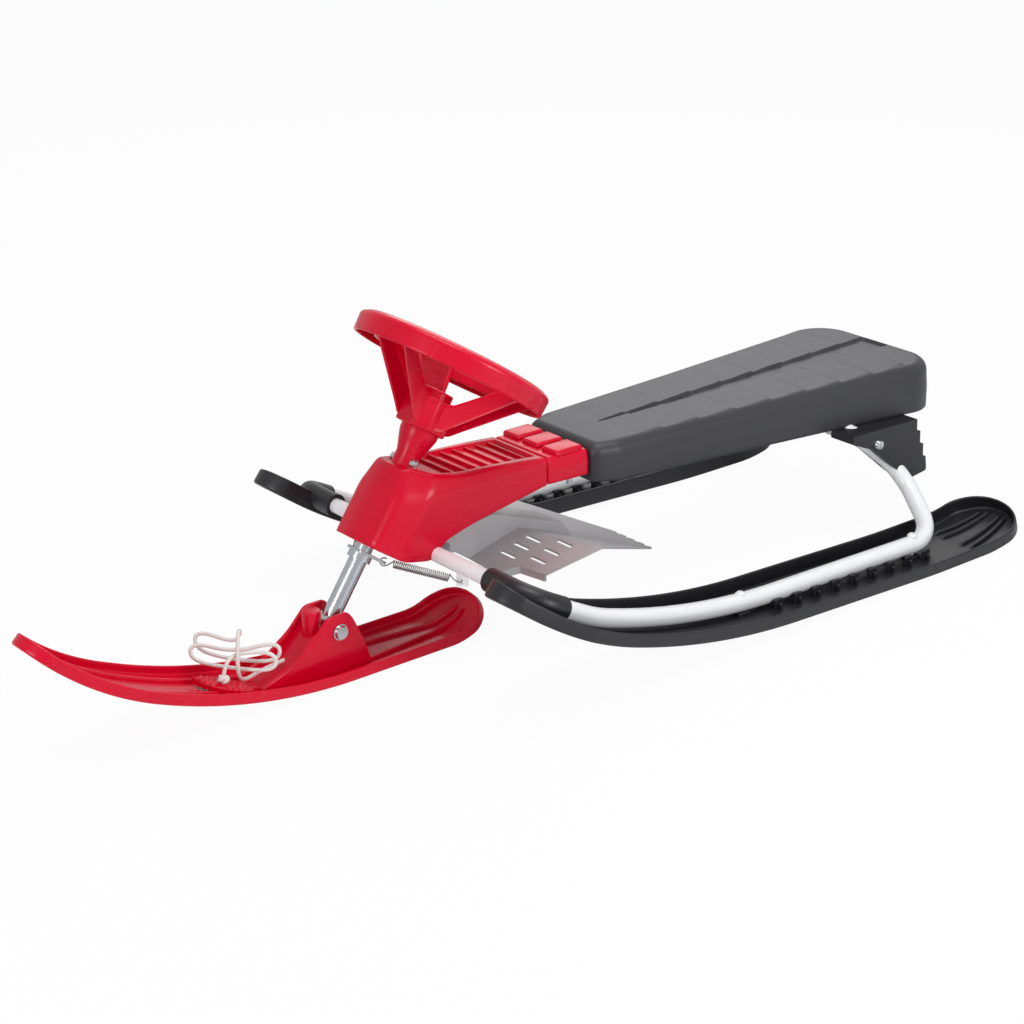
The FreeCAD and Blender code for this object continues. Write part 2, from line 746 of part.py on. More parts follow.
spoke_pad = body_pad(wheel, "spoke", "XZ_Plane", [
    ("Sizes.hub_flat - 10", "Sizes.neck_top + 3"),
    ("Sizes.hub_flat + 2", "Sizes.neck_top + 3"),
    ("Sizes.wheel_inner + 9", "Sizes.wheel_low + 3"),
    ("Sizes.wheel_inner + 9", "Sizes.wheel_high - 3"),
    ("Sizes.wheel_inner - 4", "Sizes.wheel_high - 4"),
    ("Sizes.hub_flat - 6", "Sizes.hub_high"),
    ("Sizes.hub_flat - 10", "Sizes.hub_high"),
], "Sizes.spoke_width")
spoke_hollow = body_pocket(wheel, "spoke_hollow", "XZ_Plane", [
    ("Sizes.hub_flat + 1", "Sizes.neck_top + 6"),
    ("Sizes.hub_flat + 12", "Sizes.neck_top + 2"),
    ("Sizes.wheel_inner + 5", "Sizes.wheel_low - 4"),
    ("Sizes.wheel_inner + 5", "Sizes.wheel_high - 7"),
    ("Sizes.wheel_inner - 3", "Sizes.wheel_high - 8"),
    ("Sizes.hub_flat + 1", "Sizes.hub_high - 6"),
], "Sizes.spoke_width - 2 * Sizes.wheel_wall")
doc.recompute()
spokes = wheel.newObject("PartDesign::PolarPattern", "spokes")
spokes.Originals = [spoke_pad, spoke_hollow]
spokes.Axis = (plane_of(wheel, "Z_Axis"), [""])
spokes.Angle = 360.0
spokes.Occurrences = 3
wheel.Tip = spokes
doc.recompute()
HALF_HUB = "(Sizes.hub_flat / 2)"
LONG_HUB = "(Sizes.hub_flat * 0.8660254)"
hub_pad = body_pad(wheel, "hub", "XY_Plane", [
    ("Sizes.hub_flat", HALF_HUB),
    ("Sizes.hub_flat", "-" + HALF_HUB),
    (HALF_HUB + " - 2", "-" + LONG_HUB),
    ("-" + HALF_HUB, "-" + LONG_HUB + " - 1"),
    ("-Sizes.hub_flat + 4", "-" + HALF_HUB + " + 4"),
    ("-Sizes.hub_flat + 4", HALF_HUB + " - 4"),
    ("-" + HALF_HUB, LONG_HUB + " + 1"),
    (HALF_HUB + " - 2", LONG_HUB),
], "Sizes.hub_high - Sizes.neck_top", False, size("neck_top"))
doc.recompute()
bore_sketch = wheel.newObject("Sketcher::SketchObject", "hub_bore_outline")
bore_sketch.AttachmentSupport = (plane_of(wheel, "XY_Plane"), [""])
bore_sketch.MapMode = "FlatFace"
bore_sketch.addGeometry(Part.Circle(Vector(0, 0, 0), Vector(0, 0, 1), size("shaft_radius")), False)
bore_sketch.addConstraint(Sketcher.Constraint("Coincident", 0, 3, -1, 1))
bore_rule = bore_sketch.addConstraint(Sketcher.Constraint("Radius", 0, size("shaft_radius")))
bore_sketch.setExpression("Constraints[%d]" % bore_rule, "Sizes.shaft_radius")
hub_bore = wheel.newObject("PartDesign::Pocket", "hub_bore")
hub_bore.Profile = bore_sketch
hub_bore.Reversed = True
hub_bore.setExpression("Length", "Sizes.hub_high + 20")
wheel.Placement = COLUMN
doc.recompute()
keep("steering_wheel", wheel)
keep("wheel_nut", turned("wheel_nut", [
    ("0", "Sizes.shaft_top"),
    ("Sizes.shaft_radius", "Sizes.shaft_top"),
    ("Sizes.shaft_radius", "Sizes.hub_high"),
    ("Sizes.shaft_radius + 3", "Sizes.hub_high"),
    ("Sizes.shaft_radius + 3", "Sizes.hub_high + 5"),
    ("0", "Sizes.hub_high + 6"),
], COLUMN))

# Spring bracket: collar and eared plate on the shaft
collar = turned("bracket_collar", [
    ("Sizes.shaft_radius", "Sizes.bracket_s - 7"),
    ("Sizes.shaft_radius + 3", "Sizes.bracket_s - 7"),
    ("Sizes.shaft_radius + 3", "Sizes.bracket_s + 1"),
    ("Sizes.shaft_radius", "Sizes.bracket_s + 1"),
], COLUMN)
EAR_X = size("ear_back")
EAR_Y = size("ear_side")
ear_sketch = sketch_at("ear_outline", "XY", corner_edges([
    (EAR_X - 5, -EAR_Y - 6, 4),
    (EAR_X + 6, -EAR_Y - 6, 4),
    (12, -10, 6),
    (12, 10, 6),
    (EAR_X + 6, EAR_Y + 6, 4),
    (EAR_X - 5, EAR_Y + 6, 4),
]))
ear_sketch.Placement = on_column(size("bracket_s"))
ear_plate = doc.addObject("Part::Extrusion", "ear_plate")
ear_plate.Base = ear_sketch
ear_plate.DirMode = "Normal"
ear_plate.Solid = True
ear_plate.setExpression("LengthFwd", "Sizes.bracket_plate")
bracket_form = fuse("bracket_form", [collar, ear_plate])
ear_holes = fuse("ear_holes", [
    cylinder("ear_hole_left", "2.4", "12",
             COLUMN.multiply(Placement(Vector(EAR_X, EAR_Y, size("bracket_s") - 4), Rotation()))),
    cylinder("ear_hole_right", "2.4", "12",
             COLUMN.multiply(Placement(Vector(EAR_X, -EAR_Y, size("bracket_s") - 4), Rotation()))),
])
bracket_drilled = cut("bracket_drilled", bracket_form, ear_holes)
keep("spring_bracket", cut("spring_bracket", bracket_drilled, shaft_rod))

# Front ski with its pivot tower
front_shell, front_inside = ski_shell("front", FRONT_START, FRONT_MOVES, front_plan,
                                      size("front_wall_rise"))
front_ribs = rib_set("front_rib", FRONT_START, FRONT_MOVES, [
    [(330, 15, 0), (330, 18, 0), (545, 26, 0), (545, 23, 0)],
    [(330, -18, 0), (330, -15, 0), (545, -23, 0), (545, -26, 0)],
    [(72, 3, 0), (72, 6, 0), (215, 21, 0), (215, 18, 0)],
    [(72, -6, 0), (72, -3, 0), (215, -18, 0), (215, -21, 0)],
], 1.5, 8, front_inside)
TOWER = [
    (206, 1.5, 0),
    (224, PIVOT.z + 8, 8),
    (236, size("tower_high"), 8),
    (266, size("tower_high") + 2, 5),
    (282, 42, 14),
    (338, 1.5, 0),
]
CHEEK_OUT = "(2 * (Sizes.cheek_inner + Sizes.cheek_wall))"
tower_wide = slab("tower_wide", "XZ", corner_edges(TOWER), CHEEK_OUT)
tower_room = slab("tower_room", "XZ", corner_edges([
    (190, size("ski_base"), 0),
    (190, 90, 0),
    (262, 90, 0),
    (262, size("ski_base"), 0),
]), "2 * Sizes.cheek_inner")
tower_nose = slab("tower_nose", "XZ", corner_edges([
    (267, 1.5, 0),
    (267, 90, 0),
    (345, 90, 0),
    (345, 1.5, 0),
]), "2 * (Sizes.cheek_inner - 4)")
tower_open = cut("tower_open", tower_wide, tower_room)
tower_cut = cut("tower_cut", tower_open, tower_nose)
tower_floor = slab("tower_floor", "XZ", band(FRONT_START, FRONT_MOVES, 1.5, 100), "200")
tower_form = common("tower_form", tower_cut, tower_floor)
pivot_drill = cylinder("pivot_drill", "Sizes.pivot_radius", "80",
                       Placement(PIVOT - Vector(0, 40, 0), ACROSS))
front_form = fuse("front_form", [front_shell, front_ribs, tower_form])
keep("front_ski", cut("front_ski", front_form, pivot_drill))
CHEEK_FACE = "(Sizes.cheek_inner + Sizes.cheek_wall)"
keep("ski_pivot_bolt", turned("ski_pivot_bolt", [
    ("0", "-" + CHEEK_FACE + " - 6"),
    ("Sizes.pivot_radius + 2.8", "-" + CHEEK_FACE + " - 6"),
    ("Sizes.pivot_radius + 2.8", "-" + CHEEK_FACE + " - 1.5"),
    ("Sizes.pivot_radius + 4.5", "-" + CHEEK_FACE + " - 1.5"),
    ("Sizes.pivot_radius + 4.5", "-" + CHEEK_FACE),
    ("Sizes.pivot_radius", "-" + CHEEK_FACE),
    ("Sizes.pivot_radius", CHEEK_FACE),
    ("Sizes.pivot_radius + 4.5", CHEEK_FACE),
    ("Sizes.pivot_radius + 4.5", CHEEK_FACE + " + 1.5"),
    ("Sizes.pivot_radius + 3.5", CHEEK_FACE + " + 1.5"),
    ("Sizes.pivot_radius + 2.5", CHEEK_FACE + " + 5"),
    ("0", CHEEK_FACE + " + 5.5"),
], Placement(PIVOT, ACROSS)))

# Left rear ski: channel, tail ribs, tube clips and bolt bosses
rear_shell, rear_inside = ski_shell("rear", REAR_START, REAR_MOVES, rear_plan,
                                    size("rear_wall_rise"))
REAR_Y = size("rear_centre_y")
tail_strips = []
for step in (-27, -14, 14, 27):
    tail_strips.append([
        (-582, REAR_Y + step * 0.55 - 1.2, 0),
        (-492, REAR_Y + step - 1.2, 0),
        (-492, REAR_Y + step + 1.2, 0),
        (-582, REAR_Y + step * 0.55 + 1.2, 0),
    ])
rear_ribs = rib_set("rear_rib", REAR_START, REAR_MOVES, tail_strips, 1.5, 8, rear_inside)
clip_strips = []
for index in range(9):
    clip_x = -440 + index * 30
    for side in (-1, 1):
        low_y = REAR_Y + side * (RAIL_R + 3.5) - 1.8
        clip_strips.append([
            (clip_x, low_y, 0),
            (clip_x + 12, low_y, 0),
            (clip_x + 12, low_y + 3.6, 0),
            (clip_x, low_y + 3.6, 0),
        ])
rear_clips = rib_set("rear_clip", REAR_START, REAR_MOVES, clip_strips, 1.5, 19, rear_inside)
BOSS_SPOTS = [-150.0, -425.0]
boss_strips = [
    [(spot - 9, REAR_Y - 8, 0), (spot + 9, REAR_Y - 8, 0),
     (spot + 9, REAR_Y + 8, 0), (spot - 9, REAR_Y + 8, 0)]
    for spot in BOSS_SPOTS
]
rear_bosses = rib_set("rear_boss", REAR_START, REAR_MOVES, boss_strips, 1.5, 14, rear_inside)
rear_form = fuse("rear_form", [rear_shell, rear_ribs, rear_clips, rear_bosses])
rear_notched = cut("rear_notched", rear_form, side_rod)
rear_clear = cut("rear_clear", rear_notched, cross_rod)


def tube_height(x):
    """Height of the side tube's centre line above a spot on its long straight run."""
    share = (x - size("low_tube_x")) / (size("rail_mid_x") - size("low_tube_x"))
    return size("low_tube_z") + share * (size("rail_mid_z") - size("low_tube_z"))


ski_bolts = []
for index, spot in enumerate(BOSS_SPOTS):
    top = tube_height(spot) + RAIL_R
    ski_bolts.append(turned("ski_bolt%d" % index, [
        ("0", "-24"),
        ("2.5", "-24"),
        ("2.5", "-0.6"),
        ("5.5", "-0.6"),
        ("5.5", "1.6"),
        ("3.5", "3.4"),
        ("0", "3.8"),
    ], Placement(Vector(spot, REAR_Y, top), Rotation())))
bolt_group = fuse("bolt_group", ski_bolts)
left_ski = keep("left_rear_ski", cut("left_rear_ski", rear_clear, bolt_group))
keep("right_rear_ski", mirrored("right_rear_ski", left_ski))
left_bolts = keep("left_ski_bolts", bolt_group)
keep("right_ski_bolts", mirrored("right_ski_bolts", left_bolts))
side_hollow = cut("side_hollow", side_rod, side_bore)
side_drilled = cut("side_drilled", side_hollow, bolt_group)

# Ski cap: a sleeve around the tube's bend at the front of the ski
CAP_START_Y = 127
CAP_END_X = 100
CAP_WALL = 2.5
FRONT_FALL = (CROSS.z - size("rail_front_z")) / (CROSS.x - size("rail_front_x"))
cap_path = path_wire([
    (CROSS.x, CAP_START_Y, CROSS.z, 0),
    (CROSS.x, REAR_Y, CROSS.z, size("corner_bend")),
    (CAP_END_X, REAR_Y, CROSS.z - (CROSS.x - CAP_END_X) * FRONT_FALL, 0),
])
cap_sleeve = formed("cap_sleeve", rod_along(cap_path, RAIL_R + CAP_WALL))
cap_room = slab("cap_room", "XZ", band(REAR_START, REAR_MOVES, size("ski_base"), 90), "600")
cap_above = common("cap_above", cap_sleeve, cap_room)
cap_on_ski = cut("cap_on_ski", cap_above, rear_shell)
cap_side = cut("cap_side", cap_on_ski, side_rod)
left_cap = keep("left_ski_cap", cut("left_ski_cap", cap_side, cross_rod))
keep("right_ski_cap", mirrored("right_ski_cap", left_cap))

# Seat shell
RIM_SLOPE = (size("rim_front_z") - size("rim_rear_z")) / (size("seat_joint_x") - size("seat_rear_x"))


def rim_z(x):
    """Height of the seat's lower rim."""
    return size("rim_rear_z") + (x - size("seat_rear_x")) * RIM_SLOPE


def seat_plan(inset):
    """Plan outline of the seat, drawn inwards by inset."""
    front = size("seat_joint_x") - inset
    rear = size("seat_rear_x") + inset
    half = [
        (front, 55 - inset, 12),
        (-93, 66 - inset, 25),
        (-290, 80 - inset, 300),
        (-500, 98 - inset, 300),
        (rear, 108 - inset, 48),
    ]
    other = [(x, -y, r) for x, y, r in reversed(half)]
    return corner_edges(half + other)


def seat_block(name, inset, top, low):
    """A seat-shaped block with rounded upper edges."""
    sketch = sketch_at(name + "_outline", "XY", seat_plan(inset), low)
    solid = doc.addObject("Part::Extrusion", name + "_prism")
    solid.Base = sketch
    solid.DirMode = "Normal"
    solid.Solid = True
    solid.LengthFwd = top - low
    doc.recompute()
    rounded = doc.addObject("Part::Fillet", name)
    rounded.Base = solid
    radius = size("seat_edge_round") - inset
    upper = [
        (index + 1, radius, radius)
        for index, edge in enumerate(solid.Shape.Edges)
        if min(vertex.Point.z for vertex in edge.Vertexes) > top - 0.01
    ]
    rounded.Edges = upper
    return rounded


seat_outer = seat_block("seat_outer", 0, size("seat_top"), 100)
seat_inner = seat_block("seat_inner", size("seat_wall"),
                        size("seat_top") - size("seat_wall") - size("seat_channel_depth"), 90)
seat_under = slab("seat_under", "XZ", corner_edges([
    (-600, rim_z(-600), 0),
    (-40, rim_z(-40), 0),
    (-40, 80, 0),
    (-600, 80, 0),
]), "400")
seat_channel = slab("seat_channel", "XY", corner_edges([
    (-122, 1, 0),
    (-600, 21, 0),
    (-600, -21, 0),
    (-122, -1, 0),
]), "40", size("seat_top") - size("seat_channel_depth"), False)
BOSS_X = [-130.0, -395.0]
seat_bosses = fuse("seat_bosses", [
    cylinder("seat_boss%d" % index, "Sizes.boss_radius", "24",
             Placement(Vector(spot, 0, SPINE_TOP), Rotation()))
    for index, spot in enumerate(BOSS_X)
])
seat_shell = cut("seat_shell_form", seat_outer, seat_inner)
seat_trim = cut("seat_trim", seat_shell, seat_under)
seat_whole = fuse("seat_whole", [seat_trim, common("boss_clip", seat_bosses, seat_outer)])
seat_grooved = cut("seat_grooved", seat_whole, seat_channel)
seat_screws = fuse("seat_screws", [
    turned("seat_screw%d" % index, [
        ("0", "-4.5"),
        ("5", "-4.5"),
        ("5", "0"),
        ("Sizes.seat_bolt_radius", "0"),
        ("Sizes.seat_bolt_radius", "Sizes.spine_height + 14"),
        ("0", "Sizes.spine_height + 14"),
    ], Placement(Vector(spot, 0, SPINE_LOW), Rotation()))
    for index, spot in enumerate(BOSS_X)
])
side_rod_far = mirrored("side_rod_far", side_rod)
seat_notched = cut("seat_notched", seat_grooved, fuse("side_rods", [side_rod, side_rod_far]))
spine_pass = block("spine_pass", "200", "Sizes.spine_width + 1", "Sizes.spine_height + 0.5",
                   Vector(-160, -size("spine_width") / 2 - 0.5, SPINE_LOW))
seat_passed = cut("seat_passed", seat_notched, spine_pass)
keep("seat_shell", cut("seat_shell", seat_passed, seat_screws))
keep("seat_bolts", seat_screws)
keep("spine_rail", cut("spine_rail", spine_hollow, seat_screws))

# Rear supports: stepped wedges around the rising tubes
SUPPORT = [
    (-403, rim_z(-403), 0),
    (-512, rim_z(-512), 0),
    (-513, 113, 0),
    (-519, 112, 0),
    (-520, 96, 0),
    (-526, 95, 0),
    (-527, 79, 0),
    (-532, 78, 0),
    (-535, 60, 3),
    (-503, 56, 4),
    (-437, 108, 12),
    (-403, 121, 3),
]
support_slab = slab("support_slab", "XZ", corner_edges(SUPPORT), "Sizes.support_width",
                    -size("support_inner_y") - size("support_width"), False)
support_drilled = cut("support_drilled", support_slab, side_rod)
support_bolt = turned("support_bolt", [
    ("0", "-30"),
    ("3", "-30"),
    ("3", "0"),
    ("6", "0"),
    ("5", "3.5"),
    ("0", "4"),
], Placement(Vector(-446, size("support_inner_y") + size("support_width"), 112), ACROSS))
left_support = keep("left_rear_support", cut("left_rear_support", support_drilled, support_bolt))
keep("right_rear_support", mirrored("right_rear_support", left_support))
support_bolt_far = mirrored("support_bolt_far", support_bolt)
keep("support_bolts", fuse("support_bolts", [support_bolt, support_bolt_far]))
left_side = keep("left_side_tube", cut("left_side_tube", side_drilled, support_bolt))
keep("right_side_tube", mirrored("right_side_tube", left_side))

# Console: raked front prism, side profile and tapered section
FRONT_Z = 133.5
TOP_LINE = [(165, 204), (152.6, 200.6), (114, 188), (26, 182), (-17, 178), (-66.5, 177)]


def console_prism(name, inset):
    """The raked prism that shapes the console's front, drawn inwards by inset."""
    half = size("console_half") - inset
    sketch = sketch_at(name + "_outline", "XY", corner_edges([
        (-200, -half, 0),
        (172, -half, 36),
        (206 - inset, -32 + inset, 14 - inset),
        (214 - inset, 0, 70),
        (206 - inset, 32 - inset, 14 - inset),
        (172, half, 36),
        (-200, half, 0),
    ]), FRONT_Z)
    solid = doc.addObject("Part::Extrusion", name)
    solid.Base = sketch
    solid.DirMode = "Custom"
    solid.Dir = RAKE_TURN.multVec(Vector(0, 0, 1))
    solid.Solid = True
    solid.LengthFwd = 120
    solid.LengthRev = 60
    return solid


def console_section(name, inset):
    """Cross-section with sides that close in towards the top."""
    half = size("console_half") - inset
    corners = [(half + 1, 60, 0), (half, 178 - inset, 0), (half - 3, 182 - inset, 0),
               (half - 7, 188 - inset, 0), (half - 15, 201, 6), (half - 16, 206, 0)]
    other = [(-y, z, r) for y, z, r in reversed(corners)]
    return slab(name, "YZ", corner_edges(corners + other), "700")


console_profile = slab("console_profile", "XZ", corner_edges([
    (226, 143, 0),
    (178, 112, 20),
    (150, 107, 20),
    (139, 103.2, 3),
    (131, 119, 6),
    (113, 125, 10),
    (81, 133, 60),
    (-6, 148, 100),
    (size("console_joint_x"), 148.5, 0),
    (size("console_joint_x"), 178.4, 0),
    (26, 182, 0),
    (114, 188, 60),
    (152.6, 200.6, 20),
    (164, 203.5, 4),
    (190, 196, 0),
]), "140")
console_cavity_side = slab("console_cavity_side", "XZ", corner_edges([
    (226, 70, 0),
    (size("console_joint_x") - 20, 70, 0),
    (size("console_joint_x") - 20, 170, 0),
    (26, 174, 0),
    (114, 180, 20),
    (146, 190.5, 10),
    (160, 195, 0),
    (190, 188, 0),
]), "140")
console_solid = common("console_solid", common("console_front_form", console_profile,
                                               console_prism("console_prism", 0)),
                       console_section("console_section", 0))
console_cavity = common("console_cavity",
                        common("console_cavity_front", console_cavity_side,
                               console_prism("console_cavity_prism", size("console_wall"))),
                        console_section("console_cavity_section", size("console_wall")))
console_shell = cut("console_shell", console_solid, console_cavity)
grille_recess = slab("grille_recess", "XZ", corner_edges([
    (-2, 179 - size("grille_depth"), 0),
    (26, 182 - size("grille_depth"), 0),
    (112, 188 - size("grille_depth"), 0),
    (120, 205, 0),
    (-2, 205, 0),
]), "200")
grille_plan = slab("grille_plan", "XY", corner_edges([
    (-2, -36, 3),
    (122, -30, 3),
    (122, 30, 3),
    (-2, 36, 3),
]), "120", 120, False)
grille_cut = common("grille_cut", grille_recess, grille_plan)
grille_bars = []
BAR_COUNT = int(size("grille_ribs"))
for index in range(BAR_COUNT):
    bar_x = 8 + index * 96.0 / (BAR_COUNT - 1)
    grille_bars.append(slab("grille_bar%d" % index, "XZ", corner_edges([
        (bar_x, 172, 0),
        (bar_x, 179 + bar_x * 0.07, 0),
        (bar_x + 3, 179.2 + bar_x * 0.07, 0),
        (bar_x + 6, 172, 0),
    ]), "76"))
grille = common("grille", fuse("grille_bars", grille_bars), console_solid)
console_open = cut("console_open", console_shell, grille_cut)
console_ribbed = fuse("console_ribbed", [console_open, cut("grille_trim", grille, console_cavity)])
neck_room = cylinder("neck_room", "Sizes.neck_radius + 2.5", "140", on_column(120))
bolt_room = block("bolt_room", "2 * Sizes.neck_radius + 5", "2 * Sizes.neck_radius + 18", "70",
                  COLUMN.multVec(Vector(-size("neck_radius") - 2.5, -size("neck_radius") - 9,
                                        size("neck_bolt_s") - 8)), RAKE_TURN)
console_sunk = cut("console_sunk", console_ribbed, bolt_room)
console_holed = cut("console_holed", console_sunk, neck_room)
keep("console_front", cut("console_front", console_holed, cross_rod))

REAR_HALF = size("console_half")
rear_plan_outline = corner_edges([
    (size("console_joint_x"), -REAR_HALF, 0),
    (size("console_joint_x"), REAR_HALF, 0),
    (size("seat_joint_x") + 8, REAR_HALF + 5, 6),
    (size("seat_joint_x"), REAR_HALF + 1, 0),
    (size("seat_joint_x"), -REAR_HALF - 1, 0),
    (size("seat_joint_x") + 8, -REAR_HALF - 5, 6),
])
rear_block = common("rear_block",
                    slab("rear_block_plan", "XY", rear_plan_outline, "120", 120, False),
                    slab("rear_block_side", "XZ", corner_edges([
                        (size("console_joint_x"), 148.5, 0),
                        (size("seat_joint_x"), 152, 0),
                        (size("seat_joint_x"), 173, 8),
                        (size("seat_joint_x") + 15, 177, 0),
                        (size("console_joint_x"), 178.4, 0),
                    ]), "140"))
rear_cavity = block("rear_cavity",
                    "Sizes.console_joint_x - Sizes.seat_joint_x - Sizes.console_wall + 1",
                    "2 * (Sizes.console_half - Sizes.console_wall)", "60",
                    Vector(size("seat_joint_x") + size("console_wall"),
                           -REAR_HALF + size("console_wall"), 112))
pads = [
    block("pad%d" % index, "24", "26", "9", Vector(-58, -13 + shift, 171.5))
    for index, shift in enumerate((-31, 0, 31))
]
rear_padded = fuse("rear_padded", [cut("rear_insideed", rear_block, rear_cavity)] + pads)
keep("console_rear", cut("console_rear", rear_padded, spine_pass))

# Front seat bar: a strip on the spine that ties console and seat, with two bolts
BAR_X = size("seat_joint_x") + 8
bar_plate = block("bar_plate", "18", "2 * (Sizes.console_half - Sizes.console_wall)", "3",
                  Vector(BAR_X, -REAR_HALF + size("console_wall"), SPINE_TOP))
bar_bolts = fuse("bar_bolts", [
    turned("bar_bolt%d" % index, [
        ("0", "-16"),
        ("3", "-16"),
        ("3", "-6"),
        ("5", "-6"),
        ("5", "0"),
        ("3", "0"),
        ("3", "3"),
        ("5", "3"),
        ("5", "7"),
        ("0", "7"),
    ], Placement(Vector(BAR_X + 9, side * 34, SPINE_TOP), Rotation()))
    for index, side in enumerate((-1, 1))
])
keep("front_bar", cut("front_bar", bar_plate, bar_bolts))
keep("front_bar_bolts", bar_bolts)

# Brake: one folded sheet, made as a skin of flat facets and thickened
HALF = size("brake_half")


def foot_z(x):
    """Height of the foot plates."""
    return 82.0 - 0.247 * (x - 74.0)


def facet(corners):
    """One flat facet of the folded sheet."""
    return Part.Face(Part.makePolygon([Vector(*corner) for corner in corners + corners[:1]]))


brake_parts = []
SHEET_T = size("brake_sheet")
CLAW_Z = 29.0
CLAW_X = -178.0
for side in (-1, 1):
    y = side * HALF
    wall = facet([(122, y, 97), (122, y, 110), (114, y, 113), (43, y, 122), (-54, y, 88),
                  (-66, y, 68), (8, y, foot_z(8) - SHEET_T), (74, y, foot_z(74) - SHEET_T),
                  (94, y, 93)])
    brake_parts.append(wall.extrude(Vector(0, -side * SHEET_T, 0)))
    foot = facet([(x, v, foot_z(x)) for x, v in (
        (74, side * (HALF - 1)), (8, side * (HALF - 1)), (-15, side * 125),
        (52, side * 112), (56, side * 79), (77, side * 67))])
    brake_parts.append(foot.extrude(Vector(0, 0, -SHEET_T)))
    for first, last in (((77, 67), (56, 79)), ((56, 79), (52, 112))):
        lip = facet([(first[0], side * first[1], foot_z(first[0])),
                     (last[0], side * last[1], foot_z(last[0])),
                     (last[0], side * last[1], foot_z(last[0]) - 8),
                     (first[0], side * first[1], foot_z(first[0]) - 8)])
        brake_parts.append(lip.extrude(Vector(-SHEET_T, 0, 0)))
    wing = facet([(8, side * (HALF - 1), foot_z(8)), (-15, side * 125, foot_z(-15)),
                  (CLAW_X, side * 30, CLAW_Z)])
    brake_parts.append(wing.extrude(Vector(0, 0, -SHEET_T)))
top_front = facet([(114, -HALF, 113), (114, HALF, 113), (43, HALF, 122), (43, -HALF, 122)])
brake_parts.append(top_front.extrude(Vector(0, 0, -SHEET_T)))
top_rear = facet([(43, -HALF, 122), (43, HALF, 122), (-54, HALF, 88), (-54, -HALF, 88)])
brake_parts.append(top_rear.extrude(Vector(0, 0, -SHEET_T)))
tail_x = -66.0
tail_z = CLAW_Z + (foot_z(8) - CLAW_Z) * (tail_x - CLAW_X) / (8 - CLAW_X)
step_face = facet([(-54, -HALF, 88), (-54, HALF, 88), (tail_x, HALF, tail_z),
                   (tail_x, -HALF, tail_z)])
brake_parts.append(step_face.extrude(Vector(0, 0, -SHEET_T)))
wide = HALF + 10 * (8 - tail_x) / (8 - CLAW_X)
tongue = facet([(tail_x + 4, -wide, tail_z + 1.5), (tail_x + 4, wide, tail_z + 1.5),
                (CLAW_X, 30, CLAW_Z), (CLAW_X, -30, CLAW_Z)])
brake_parts.append(tongue.extrude(Vector(0, 0, -SHEET_T)))
brake_form = formed("brake_form", brake_parts[0].multiFuse(brake_parts[1:]).removeSplitter())
slot_tools = []
for side in (-1, 1):
    for column, first_y, xs in (("inner", 38, (14, 30, 48)), ("outer", 73, (2, 20, 38))):
        for index, x in enumerate(xs):
            low = first_y if side > 0 else -first_y - 25
            slot_tools.append(slab("slot_%s%d_%d" % (column, index, side), "XY", corner_edges([
                (x - 2.5, low, 2.4), (x + 2.5, low, 2.4),
                (x + 2.5, low + 25, 2.4), (x - 2.5, low + 25, 2.4),
            ]), "80", 60, False))
for index in range(4):
    tooth_y = -22.5 + index * 15
    slot_tools.append(slab("tooth_gap%d" % index, "XY", corner_edges([
        (CLAW_X - 2, tooth_y - 5, 0), (CLAW_X + 10, tooth_y, 2), (CLAW_X - 2, tooth_y + 5, 0),
    ]), "60", 0, False))
brake_slotted = cut("brake_slotted", brake_form, fuse("slot_group", slot_tools))
BRAKE_PIVOT = Vector(size("brake_pivot_x"), 0, size("brake_pivot_z"))
brake_drill = cylinder("brake_drill", "Sizes.brake_pin_radius + Sizes.running_gap", "80",
                       Placement(BRAKE_PIVOT - Vector(0, 40, 0), ACROSS))
keep("brake_plate", cut("brake_plate", brake_slotted, brake_drill))
HANGER_IN = "(Sizes.brake_half + Sizes.side_gap)"
hanger_slab = slab("hanger_slab", "XZ", corner_edges([
    (BRAKE_PIVOT.x - 8, BRAKE_PIVOT.z - 8, 5),
    (BRAKE_PIVOT.x - 8, BRAKE_PIVOT.z + 8, 5),
    (CROSS.x, CROSS.z + 7, 0),
    (CROSS.x, CROSS.z - 7, 0),
]), "2 * (Sizes.brake_half + Sizes.side_gap + Sizes.hanger_plate)")
hanger_gap = block("hanger_gap", "80", "2 * " + HANGER_IN, "80",
                   Vector(80, -size("brake_half") - size("side_gap"), 70))
hanger_form = cut("hanger_form", cut("hanger_pair", hanger_slab, hanger_gap), cross_rod)
pin_rod = cylinder("pin_rod", "Sizes.brake_pin_radius", "80",
                   Placement(BRAKE_PIVOT - Vector(0, 40, 0), ACROSS))
keep("brake_hangers", cut("brake_hangers", hanger_form, pin_rod))
PIN_FACE = "(Sizes.brake_half + Sizes.side_gap + Sizes.hanger_plate)"
keep("brake_pin", turned("brake_pin", [
    ("0", "-" + PIN_FACE + " - 3"),
    ("Sizes.brake_pin_radius + 2.5", "-" + PIN_FACE + " - 3"),
    ("Sizes.brake_pin_radius + 2.5", "-" + PIN_FACE),
    ("Sizes.brake_pin_radius", "-" + PIN_FACE),
    ("Sizes.brake_pin_radius", PIN_FACE),
    ("Sizes.brake_pin_radius + 2.5", PIN_FACE),
    ("Sizes.brake_pin_radius + 2.5", PIN_FACE + " + 3"),
    ("0", PIN_FACE + " + 3"),
], Placement(BRAKE_PIVOT, ACROSS)))

# Smooth wires: each run is two arcs that leave and arrive along given headings
def bow(first, control, last):
    """An arc from first to last whose end tangents meet at control."""
    middle = (first + last) * 0.5
    rise = control - middle
    half = first.distanceToPoint(last) / 2
    if rise.Length < 1e-5:
        return Part.LineSegment(first, last).toShape()
    angle = math.atan2(rise.Length, half)
    through = middle + rise * (math.tan(angle / 2) / math.tan(angle))
    return Part.Arc(first, through, last).toShape()


